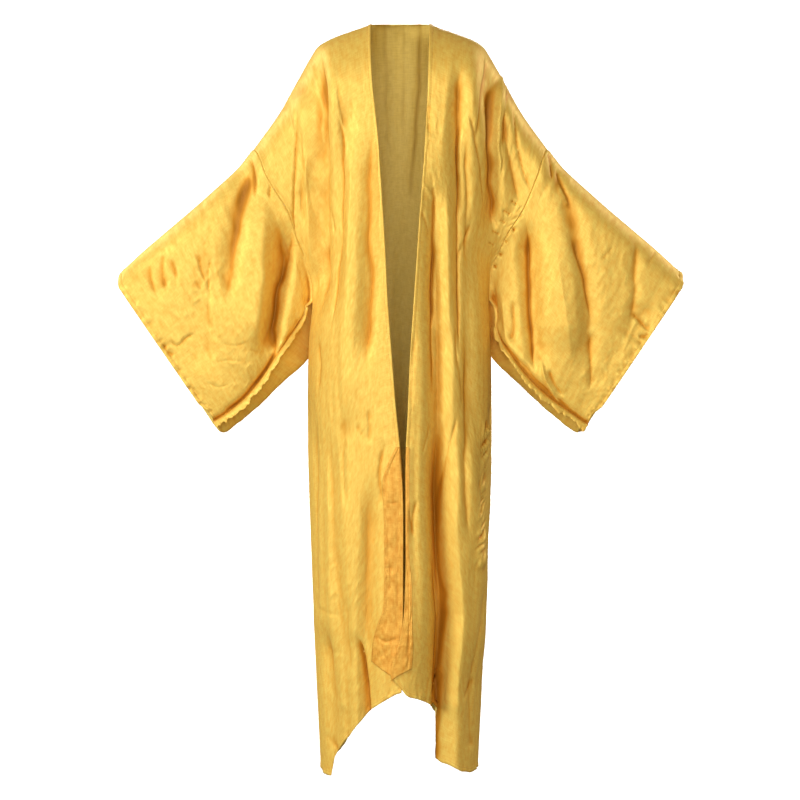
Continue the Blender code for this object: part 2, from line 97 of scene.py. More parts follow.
def side_column(side):
    """Column of a two-sided table that belongs to the wearer's right (-1) or left (1)."""
    return 1 if side == RIGHT else 2


# %% [markdown]
# ## The form that the cloth hangs on
# A kimono robe has no darts: its shape comes from what holds it up. Cloth rounds over a sloping shoulder
# line, falls from the chest and from the arms, and closes to an oval ring below the arms. Two functions
# give that smooth form, one for a front and one for the back, from a place across the panel and a level
# below the shoulder line.

# %% Tables of the body
# Shoulder line seen from the front: distance from the neck point, x, z
SHOULDER_LINE = (
    (0.000, 0.0566, 0.001),
    (0.086, 0.1390, -0.030),
    (0.104, 0.1550, -0.038),
    (0.114, 0.1630, -0.045),
    (0.124, 0.1690, -0.054),
    (0.200, 0.2070, -0.121),
    (0.260, 0.2350, -0.171),
    (0.349, 0.2870, -0.244),
)
# Opening edges: level below the shoulder line, x on the wearer's right, x on the wearer's left
OPENING_EDGES = (
    (0.000, -0.0566, 0.0566),
    (0.090, -0.0565, 0.0537),
    (0.220, -0.0439, 0.0478),
    (0.419, -0.0302, 0.0337),
    (0.538, -0.0244, 0.0254),
    (0.643, -0.0166, 0.0185),
    (0.743, -0.0088, 0.0142),
    (0.840, 0.0006, 0.0095),
    (0.930, 0.0049, 0.0090),
    (1.043, 0.0050, 0.0095),
    (1.100, 0.0050, 0.0080),
    (1.148, 0.0048, 0.0059),
    (1.204, 0.0042, -0.0009),
    (1.245, 0.0036, -0.0100),
    (1.282, 0.0025, -0.0180),
    (1.297, 0.0020, -0.0180),
)
# Armhole and side seam: level, distance from the middle on the wearer's right and left
SIDE_EDGES = (
    (0.000, 0.2870, 0.2870),
    (0.070, 0.2525, 0.2600),
    (0.140, 0.2160, 0.2345),
    (0.190, 0.2035, 0.2085),
    (0.240, 0.1880, 0.1900),
    (0.280, 0.1790, 0.1750),
    (0.310, 0.1720, 0.1725),
    (0.357, 0.1710, 0.1720),
    (0.450, 0.1775, 0.1745),
    (0.560, 0.1792, 0.1757),
    (0.680, 0.1780, 0.1757),
    (0.880, 0.1715, 0.1680),
    (1.090, 0.1628, 0.1582),
    (1.297, 0.1538, 0.1495),
)
# Rows below their level at the opening: share of the panel's width, drop on the right, left and back
HANG_DROPS = (
    (0.00, 0.000, 0.000, 0.000),
    (0.12, 0.013, 0.011, 0.010),
    (0.25, 0.045, 0.032, 0.035),
    (0.40, 0.098, 0.098, 0.085),
    (0.55, 0.132, 0.143, 0.128),
    (0.70, 0.158, 0.160, 0.152),
    (0.85, 0.168, 0.162, 0.166),
    (1.00, 0.167, 0.160, 0.165),
)
# Outline of the hem below the body's length, in the same columns, which the rows reach below HEM_START
HEM_DROPS = (
    (0.000, -0.009, -0.037, 0.000),
    (0.040, -0.006, -0.028, 0.001),
    (0.080, -0.001, -0.016, 0.003),
    (0.120, 0.005, -0.004, 0.006),
    (0.200, 0.017, 0.003, 0.018),
    (0.300, 0.033, 0.014, 0.042),
    (0.343, 0.046, 0.021, 0.053),
    (0.392, 0.060, 0.024, 0.066),
    (0.418, 0.066, 0.034, 0.072),
    (0.430, 0.069, 0.112, 0.075),
    (0.448, 0.074, 0.126, 0.081),
    (0.500, 0.084, 0.134, 0.096),
    (0.600, 0.103, 0.147, 0.120),
    (0.657, 0.114, 0.149, 0.131),
    (0.700, 0.130, 0.151, 0.138),
    (0.742, 0.160, 0.152, 0.144),
    (0.857, 0.158, 0.150, 0.152),
    (1.000, 0.148, 0.148, 0.148),
)
HEM_START = 1.10
# Depth of the oval ring under the arms: level, to the front, to the back
RING_DEPTHS = (
    (0.00, 0.122, 0.100),
    (0.20, 0.128, 0.110),
    (0.36, 0.130, 0.114),
    (0.60, 0.120, 0.116),
    (0.90, 0.116, 0.120),
    (1.30, 0.112, 0.124),
)
CHEST_DEPTH = 0.118
BACK_DEPTH = 0.102
CHEST_ROUND = 0.130
ARM_DEPTH = 0.048
ARM_ROUND = 0.055
NECK_BOW = 0.055
NECK_STAND = 0.009
OVERLAP_LIFT = 0.012
ARM_START, ARM_END = 0.25, 0.72
RING_START, RING_END = 0.04, 0.42
# Levels between which the left front lies over the turned edge, and share of its width where it stops
OVERLAP_START, OVERLAP_END = 1.00, 1.20
OVERLAP_NEAR, OVERLAP_FAR = 0.05, 0.30
# Levels at which the cloth has left the shoulder line, and the stand of the back neck
SETTLED_LEVEL = 0.50
NECK_LEVEL = 0.08
print("rows of edges and hem:", len(OPENING_EDGES) + len(SIDE_EDGES) + len(HEM_DROPS))


# %% Smooth form of the fronts and the back
def round_over(rise, drop):
    """Quarter oval from the shoulder line to a level below it: share of the way out, and the fall so far."""
    turn = math.pi / 2.0 * np.clip(drop / rise, 0.0, 1.0)
    fall = rise * (1.0 - np.cos(turn)) + np.maximum(drop - rise, 0.0)
    return np.sin(turn), fall


def hang(drop, across, start, chest_depth):
    """Depth and fall of cloth that hangs from the shoulders (across 0) or from the arm (across 1)."""
    over_arm = smooth(across, ARM_START, ARM_END)
    chest_out, chest_fall = round_over(CHEST_ROUND, drop)
    arm_out, arm_fall = round_over(ARM_ROUND, drop)
    chest = start + (chest_depth - start) * chest_out
    depth = chest + (ARM_DEPTH * arm_out - chest) * over_arm
    return depth, chest_fall + (arm_fall - chest_fall) * over_arm


def settle(column, across, drop):
    """How far a panel's rows hang below their own level, and near the hem its outline."""
    near_hem = smooth(drop, HEM_START, BODY_LENGTH)
    return along(HANG_DROPS, column, across) * (1.0 - near_hem) + along(HEM_DROPS, column, across) * near_hem


def front_base(side, across, drop):
    """Smooth front panel: across is 0 at the opening and 1 at the armhole and side seam."""
    edge = side * along(OPENING_EDGES, side_column(side), drop)
    seam = along(SIDE_EDGES, side_column(side), drop)
    below_arm = smooth(drop, RING_START, RING_END)
    top = (along(SHOULDER_LINE, 1, across * SHOULDER_WIDTH) - NECK_HALF) / (SHOULDER_LINE[-1][1] - NECK_HALF)
    start = np.arcsin(np.clip(edge / seam, -1.0, 1.0))
    turn = start + (math.pi / 2.0 - start) * across
    ring = (seam * np.sin(turn) - edge) / (seam - edge)
    x = edge + (seam - edge) * ((1.0 - below_arm) * top + below_arm * ring)

    settled = smooth(drop, 0.0, SETTLED_LEVEL)
    hanging, fall = hang(drop, across, 0.0, CHEST_DEPTH)
    z = (-fall + (1.0 - settled) * along(SHOULDER_LINE, 2, across * SHOULDER_WIDTH)
         - settled * settle(side_column(side), across, drop))
    y = -((1.0 - below_arm) * hanging + below_arm * along(RING_DEPTHS, 1, drop) * np.cos(turn))
    if side == LEFT:
        over = smooth(drop, OVERLAP_START, OVERLAP_END) * (1.0 - smooth(across, OVERLAP_NEAR, OVERLAP_FAR))
        y = y - OVERLAP_LIFT * over
    return np.stack((side * x, y, z), axis=-1)


def back_base(girth, drop):
    """Smooth back panel: girth runs from the right side seam to the left one, in metres of cloth."""
    side = np.where(girth < 0.0, RIGHT, LEFT)
    reach = np.abs(girth)
    across = np.clip((reach - NECK_HALF) / SHOULDER_WIDTH, 0.0, 1.0)
    seam = np.where(side == RIGHT, along(SIDE_EDGES, 1, drop), along(SIDE_EDGES, 2, drop))
    below_arm = smooth(drop, RING_START, RING_END)
    beyond_neck = along(SHOULDER_LINE, 1, across * SHOULDER_WIDTH)
    top = np.where(reach < NECK_HALF, reach, beyond_neck) / SHOULDER_LINE[-1][1]
    turn = math.pi / 2.0 * reach / BODY_HALF
    x = side * seam * ((1.0 - below_arm) * top + below_arm * np.sin(turn))

    settled = smooth(drop, 0.0, SETTLED_LEVEL)
    bow = NECK_BOW * np.sqrt(np.clip(1.0 - (reach / NECK_HALF) ** 2, 0.0, 1.0))
    hanging, fall = hang(drop, across, bow, BACK_DEPTH)
    z = (-fall + (1.0 - settled) * along(SHOULDER_LINE, 2, across * SHOULDER_WIDTH)
         - settled * settle(3, reach / BODY_HALF, drop))
    z = z + NECK_STAND * bow / NECK_BOW * (1.0 - smooth(drop, 0.0, NECK_LEVEL))
    y = (1.0 - below_arm) * hanging + below_arm * along(RING_DEPTHS, 2, drop) * np.cos(turn)
    return np.stack((x, y, z), axis=-1)


middle_hem = back_base(np.zeros(1), np.array([BODY_LENGTH]))[0]
print("middle of the back hem:", middle_hem.round(3))

# %% [markdown]
# ## The form of a sleeve
# The sleeve is a square of cloth folded over the arm and sewn along the bottom. Seen from the front it is a
# leaning square; seen from the cuff it is a flat oval. Its rings run from the armhole to the cuff: the
# first follows the body's armhole exactly, so the seam is closed, and the rest follow three lines: the fold
# over the arm, the underarm seam, which has rolled to the front, and the fold below it.

# %% Tables and form of the sleeves
# Share of the length from armhole to cuff, then x and z of the top fold, the underarm seam on the right and
# on the left, and the lower fold
SLEEVE_LINES = (
    (0.00, 0.287, -0.244, 0.171, -0.538, 0.171, -0.538, 0.173, -0.510),
    (0.02, 0.292, -0.249, 0.183, -0.548, 0.181, -0.552, 0.1735, -0.530),
    (0.05, 0.299, -0.257, 0.187, -0.566, 0.183, -0.588, 0.1735, -0.576),
    (0.12, 0.313, -0.275, 0.200, -0.593, 0.192, -0.622, 0.171, -0.626),
    (0.20, 0.333, -0.295, 0.215, -0.615, 0.205, -0.641, 0.176, -0.648),
    (0.28, 0.354, -0.314, 0.231, -0.638, 0.219, -0.659, 0.191, -0.669),
    (0.45, 0.401, -0.356, 0.262, -0.687, 0.251, -0.698, 0.234, -0.710),
    (0.62, 0.448, -0.396, 0.294, -0.725, 0.290, -0.732, 0.279, -0.752),
    (0.82, 0.504, -0.444, 0.332, -0.757, 0.334, -0.762, 0.325, -0.790),
    (0.92, 0.532, -0.470, 0.349, -0.768, 0.351, -0.774, 0.341, -0.800),
    (1.00, 0.559, -0.495, 0.365, -0.777, 0.366, -0.782, 0.354, -0.797),
)
# Share of the way round from the underarm seam, share of the way down from the top fold, depth y
SLEEVE_GIRTH = (
    (0.000, 1.00, -0.034),
    (0.110, 0.80, -0.046),
    (0.270, 0.46, -0.052),
    (0.400, 0.18, -0.049),
    (0.455, 0.06, -0.036),
    (0.500, 0.00, 0.000),
    (0.545, 0.06, 0.036),
    (0.600, 0.16, 0.048),
    (0.730, 0.44, 0.048),
    (0.870, 0.80, 0.040),
    (0.950, 0.98, 0.018),
)
CUFF_ROUND = 0.012
CUFF_FLATTEN = 0.70
# Back of the sleeve that sags behind the side of the body: place and reach round the girth, depth
SAG_PLACE = 0.93
SAG_REACH = 0.06
SAG_DEPTH = 0.030
# Shares of the girth between which the back is carried to the lower fold, and away from it again
BACK_START, BACK_FULL = 0.50, 0.56
BACK_LEAVE, BACK_END = 0.95, 1.00
# Shares of the girth: reach of the flat at the seam and the upper fold, and the cuff's corners
FLAT_REACH = 0.06
CORNER_REACH = 0.05
CORNER_PLACE = 0.47
# Shares of the length: where the cuff starts to round off, and where the rings have left the armhole
CORNER_START = 0.9
JOINT_END = 0.40


def armhole(side, girth):
    """Point of the armhole seam at a share of the way round the sleeve from its underarm seam."""
    drop = SLEEVE_SIZE * np.abs(1.0 - 2.0 * girth)
    in_front = front_base(side, np.ones_like(girth), drop)
    behind = back_base(side * BODY_HALF * np.ones_like(girth), drop)
    return np.where((girth < 0.5)[..., None], in_front, behind)


def sleeve_ring(side, length, girth):
    """Point of the sleeve's own rings, from shares of its length and of the way round."""
    rows = SLEEVE_GIRTH + ((1.0,) + SLEEVE_GIRTH[0][1:],)
    down = along(rows, 1, girth)
    y = along(rows, 2, girth)
    to_fold = smooth(girth, BACK_START, BACK_FULL) * (1.0 - smooth(girth, BACK_LEAVE, BACK_END))
    top_x, top_z = along(SLEEVE_LINES, 1, length), along(SLEEVE_LINES, 2, length)
    seam = 3 if side == RIGHT else 5
    low_x = along(SLEEVE_LINES, seam, length) * (1.0 - to_fold) + along(SLEEVE_LINES, 7, length) * to_fold
    low_z = along(SLEEVE_LINES, seam + 1, length) * (1.0 - to_fold) + along(SLEEVE_LINES, 8, length) * to_fold
    x = top_x + (low_x - top_x) * down
    z = top_z + (low_z - top_z) * down
    at_seam = 1.0 - smooth(0.5 - np.abs(girth - 0.5), 0.0, FLAT_REACH)
    y = y * (1.0 - (1.0 - CUFF_FLATTEN) * smooth(length, 0.45, 1.0))
    y = y * (1.0 - at_seam * (1.0 - smooth(length, 0.0, 0.3)))
    sag = np.exp(-((girth - SAG_PLACE) / SAG_REACH) ** 2) * smooth(length, 0.0, 0.06)
    y = y + SAG_DEPTH * sag * (1.0 - smooth(length, 0.14, 0.34))
    return np.stack((side * x, y, z), axis=-1)


def sleeve_base(side, length, girth):
    """Smooth sleeve: its rings, eased into the armhole so that the seam is closed."""
    from_top = np.abs(girth - 0.5)
    ends = np.maximum(1.0 - from_top / CORNER_REACH, 1.0 - np.abs(from_top - CORNER_PLACE) / CORNER_REACH)
    rounding = smooth(ends, 0.0, 1.0) * smooth(length, CORNER_START, 1.0)
    length = length * (1.0 - CUFF_ROUND / SLEEVE_SIZE * rounding)
    ring = sleeve_ring(side, length, girth)
    joint = armhole(side, girth) - sleeve_ring(side, np.zeros_like(length), girth)
    return ring + joint * (1.0 - smooth(length, 0.0, JOINT_END))[..., None]


cuff_corner = sleeve_base(LEFT, np.ones(1), np.full(1, 0.5))[0]
print("upper corner of the left cuff:", cuff_corner.round(3))

# %% [markdown]
# ## Folds and creases
# Satin is thin and slippery: it hangs in a few long folds from the shoulders and the arms, and keeps small
# creases where it was crushed. Each one is a row: how deep it goes, how far it spreads on each side, and
# the line it follows seen from the front. A point near the line moves along the cloth's own normal, most on
# the line and less to the sides, and the fold fades at both ends. Simulating the hang would give folds too,
# but not these ones.

# %% Table of the long folds, in millimetres
# For each layer and side, a row for each fold: depth inwards (negative is a ridge), reach towards and away
# from the middle, then its line, as pairs of distance from the middle and drop below the shoulder line
FOLDS = {
    ("front", RIGHT): (
        (20, 16, 12, (157, 50), (160, 150), (157, 280), (158, 420), (160, 600)),
        (-10, 20, 20, (190, 130), (185, 230), (176, 340)),
        (10, 18, 18, (94, 120), (114, 280), (124, 460), (136, 600)),
        (9, 18, 20, (62, 200), (60, 500), (79, 700)),
        (-8, 24, 24, (90, 300), (95, 560), (100, 800)),
        (14, 18, 22, (140, 760), (132, 1000), (112, 1250), (104, 1480)),
        (13, 20, 14, (56, 860), (66, 1100), (70, 1400)),
        (15, 12, 16, (150, 1150), (134, 1300), (127, 1500)),
        (-8, 30, 12, (140, 820), (138, 1000), (130, 1200), (126, 1420)),
    ),
    ("front", LEFT): (
        (13, 20, 16, (122, 60), (113, 170), (118, 420), (115, 660)),
        (24, 24, 18, (70, 260), (74, 600), (78, 880), (86, 1060), (90, 1140), (86, 1300), (82, 1500)),
        (20, 22, 12, (78, 760), (82, 980), (90, 1080), (94, 1140), (88, 1240), (84, 1500)),
        (18, 16, 12, (178, 90), (182, 200), (179, 420)),
        (-12, 22, 22, (196, 110), (188, 250), (178, 400)),
        (10, 14, 14, (140, 380), (134, 600), (140, 820)),
        (-12, 40, 20, (128, 780), (138, 940), (144, 1080), (140, 1290)),
        (-6, 10, 14, (90, 330), (88, 480), (90, 640)),
    ),
    ("back", RIGHT): (
        (16, 20, 20, (150, 70), (150, 350), (140, 620)),
        (18, 22, 18, (72, 380), (78, 800), (84, 1450)),
        (15, 18, 18, (128, 760), (122, 1100), (118, 1500)),
        (-8, 30, 30, (30, 200), (34, 700), (30, 1330)),
    ),
    ("back", LEFT): (
        (16, 20, 20, (148, 70), (150, 350), (144, 640)),
        (16, 18, 22, (62, 420), (66, 860), (72, 1450)),
        (16, 18, 18, (120, 700), (126, 1100), (120, 1500)),
        (12, 16, 16, (12, 620), (16, 1000), (10, 1340)),
    ),
    ("sleeve_front", RIGHT): (
        (11, 18, 34, (286, 250), (305, 345), (326, 450), (345, 560)),
        (-8, 20, 36, (268, 330), (268, 500), (280, 640)),
        (20, 10, 24, (212, 375), (222, 500), (240, 600), (262, 680)),
        (7, 22, 34, (386, 400), (382, 540), (376, 690)),
        (3, 30, 30, (520, 460), (485, 490), (440, 520)),
    ),
    ("sleeve_front", LEFT): (
        (6, 18, 18, (292, 262), (326, 357), (345, 470)),
        (4, 26, 26, (480, 540), (462, 580), (440, 620)),
        (18, 20, 22, (240, 376), (248, 480), (252, 590), (275, 690)),
        (6, 20, 20, (318, 410), (354, 500), (361, 590), (354, 680)),
        (-9, 46, 18, (312, 380), (332, 500), (340, 640)),
    ),
    ("sleeve_back", RIGHT): (
        (13, 24, 24, (300, 290), (290, 450), (300, 640)),
        (10, 24, 24, (420, 420), (395, 560), (360, 700)),
    ),
    ("sleeve_back", LEFT): (
        (13, 24, 24, (290, 290), (285, 450), (300, 650)),
        (10, 24, 24, (400, 400), (390, 540), (350, 690)),
    ),
}
MM = 0.001
FOLD_END = 0.22
SEAM_CALM = 0.030
HEM_LEVEL = -1.30
EASED_STEPS = 6
print("long folds:", sum(len(rows) for rows in FOLDS.values()))


# %% How a fold moves the cloth
def eased(line):
    """A line as a smooth curve through its points."""
    steps = np.linspace(0.0, len(line) - 1.0, EASED_STEPS * (len(line) - 1) + 1)
    knots = [(number, x, z) for number, (x, z) in enumerate(line)]
    return np.stack((along(knots, 1, steps), along(knots, 2, steps)), axis=-1)


def in_metres(table, curved):
    """A fold table in metres, each line with x and z, and eased into a curve where curved is set."""
    groups = {}
    for (layer, side), rows in table.items():
        groups[layer, side] = []
        for depth, inner, outer, *pairs in rows:
            line = np.array(pairs) * (side, -1.0)
            if curved:
                line = eased(line)
            groups[layer, side].append((depth * MM, inner * MM, outer * MM, line * MM))
    return groups


def rows_for(table, layer, side):
    """Rows of a grouped table for one layer, each with its side: 0 asks for both sides."""
    return [(row_side, row) for (row_layer, row_side), rows in table.items()
            if row_layer == layer and side in (0, row_side) for row in rows]


def line_distance(place, line, fold_side):
    """Distance from points (x, z) to a line, how far beside it they are, and the share of its length."""
    lengths = np.linalg.norm(np.diff(line, axis=0), axis=1)
    starts = np.concatenate(([0.0], np.cumsum(lengths)))
    best = np.full(place.shape[:-1], 1e9)
    offset = np.zeros(best.shape)
    travel = np.zeros(best.shape)
    for start, end, length, begun in zip(line[:-1], line[1:], lengths, starts):
        heading = (end - start) / length
        gap = place - start
        run = np.clip(gap @ heading, 0.0, length)
        miss = np.linalg.norm(gap - run[..., None] * heading, axis=-1)
        beside = (gap[..., 1] * heading[0] - gap[..., 0] * heading[1]) * fold_side
        nearer = miss < best
        best = np.where(nearer, miss, best)
        offset = np.where(nearer, beside, offset)
        travel = np.where(nearer, begun + run, travel)
    return best, offset, travel / starts[-1]


def fold_shift(points, layer, side, table, sharp=2.0):
    """How far the folds of one layer push each point out: sharp is 2 for a soft valley, less for a crease."""
    shift = np.zeros(points.shape[:-1])
    for fold_side, (depth, inner, outer, line) in rows_for(table, layer, side):
        best, offset, share = line_distance(points[..., (0, 2)], line, fold_side)
        reach = np.where(offset < 0.0, inner, outer)
        ends = smooth(share, 0.0, FOLD_END)
        if line[-1][1] > HEM_LEVEL:
            ends = ends * (1.0 - smooth(share, 1.0 - FOLD_END, 1.0))
        shift -= depth * ends * np.exp(-(best / reach) ** sharp)
    return shift


def outward(points, closed):
    """Unit normals of a grid of points, from the cross of its two directions."""
    if closed:
        around = np.roll(points, -1, axis=1) - np.roll(points, 1, axis=1)
    else:
        around = np.gradient(points, axis=1)
    normal = np.cross(around, np.gradient(points, axis=0))
    return normal / np.linalg.norm(normal, axis=-1, keepdims=True)


LONG_FOLDS = in_metres(FOLDS, False)
print("deepest fold in metres:", max(row[0] for rows in LONG_FOLDS.values() for row in rows))

# %% [markdown]
# ## Small unevenness
# Between its folds, cloth is never quite even: long soft ripples run down the threads, and crushed places
# stay crumpled. A lattice of seeded random heights, eased between its corners, gives both. Stretched along
# the fall it makes ripples, and folded at its zero line it makes the sharp little ridges of crushed satin.

# %% Noise on the cloth
# First seed of each kind of unevenness on each layer; the side, from -1 to 1, is added to it
SEEDS = {
    "front": {"ripples": 20, "edge": 24, "hem": 28, "crumple": 30, "wander": 80, "gather": 90},
    "back": {"ripples": 40, "hem": 48, "crumple": 44, "wander": 86, "gather": 94},
    "sleeve_front": {"ripples": 60, "hem": 70, "crumple": 64, "wander": 88, "gather": 96},
    "sleeve_back": {"crumple": 68, "wander": 88, "gather": 96},
    "facing": {"hem": 100, "crumple": 104, "ripples": 106},
    "ridge": {"long": 110, "short": 114, "width": 118},
}
LATTICE_SIZE = 64
# Height of the ripples, their width and their length in metres, and where in the lattice they are read
RIPPLES = (
    (0.0009, 0.028, 0.30, 9.0),
    (0.0005, 0.012, 0.16, 5.0),
)
# Width and length in metres of the ridges of a crumple, and the bend that keeps them from running straight
COARSE_CRUSH = (0.024, 0.030)
FINE_CRUSH = (0.011, 0.013)
CRUSH_BEND = 0.4
CRUSH_BEND_REACH = 0.05


def lattice(u, v, seed):
    """Smooth noise from -1 to 1 over a plane, with one random height at each whole number."""
    heights = np.random.default_rng(seed).uniform(-1.0, 1.0, (LATTICE_SIZE, LATTICE_SIZE))
    column, row = np.floor(u).astype(int), np.floor(v).astype(int)
    across, down = u - column, v - row
    across = across * across * (3.0 - 2.0 * across)
    down = down * down * (3.0 - 2.0 * down)
    total = 0.0
    for step_across, weight_across in ((0, 1.0 - across), (1, across)):
        for step_down, weight_down in ((0, 1.0 - down), (1, down)):
            corner = heights[(row + step_down) % LATTICE_SIZE, (column + step_across) % LATTICE_SIZE]
            total = total + corner * weight_across * weight_down
    return total


def ripples(u, v, layer, side):
    """Long soft ripples down the threads: u across and v down, in metres."""
    return sum(height * lattice(u / width, v / length + start, SEEDS[layer]["ripples"] + side + number)
               for number, (height, width, length, start) in enumerate(RIPPLES))


def crumple(u, v, seed):
    """Sharp little ridges of crushed cloth, from 0 to 1."""
    bend = CRUSH_BEND * lattice(u / CRUSH_BEND_REACH, v / CRUSH_BEND_REACH, seed + 7)
    coarse = 1.0 - np.abs(lattice(u / COARSE_CRUSH[0] + bend, v / COARSE_CRUSH[1] - bend, seed))
    fine = 1.0 - np.abs(lattice(u / FINE_CRUSH[0] - bend, v / FINE_CRUSH[1] + bend, seed + 3))
    return 0.7 * coarse ** 4 + 0.3 * fine ** 4


print("ripple at one point:", round(float(ripples(0.1, 0.2, "front", LEFT)), 6))

# %% [markdown]
# ## Creases
# Between the long folds lie the creases that give satin its life: sharp little valleys, thin ridges that
# catch the light, a fold that ends in a point. They are rows of the same kind as the long folds, but each
# line is eased into a curve that wanders by a millimetre or two, because no crease is ruled. The close rows
# at the left armhole are the teeth of a seam sewn with its thread pulled tight.

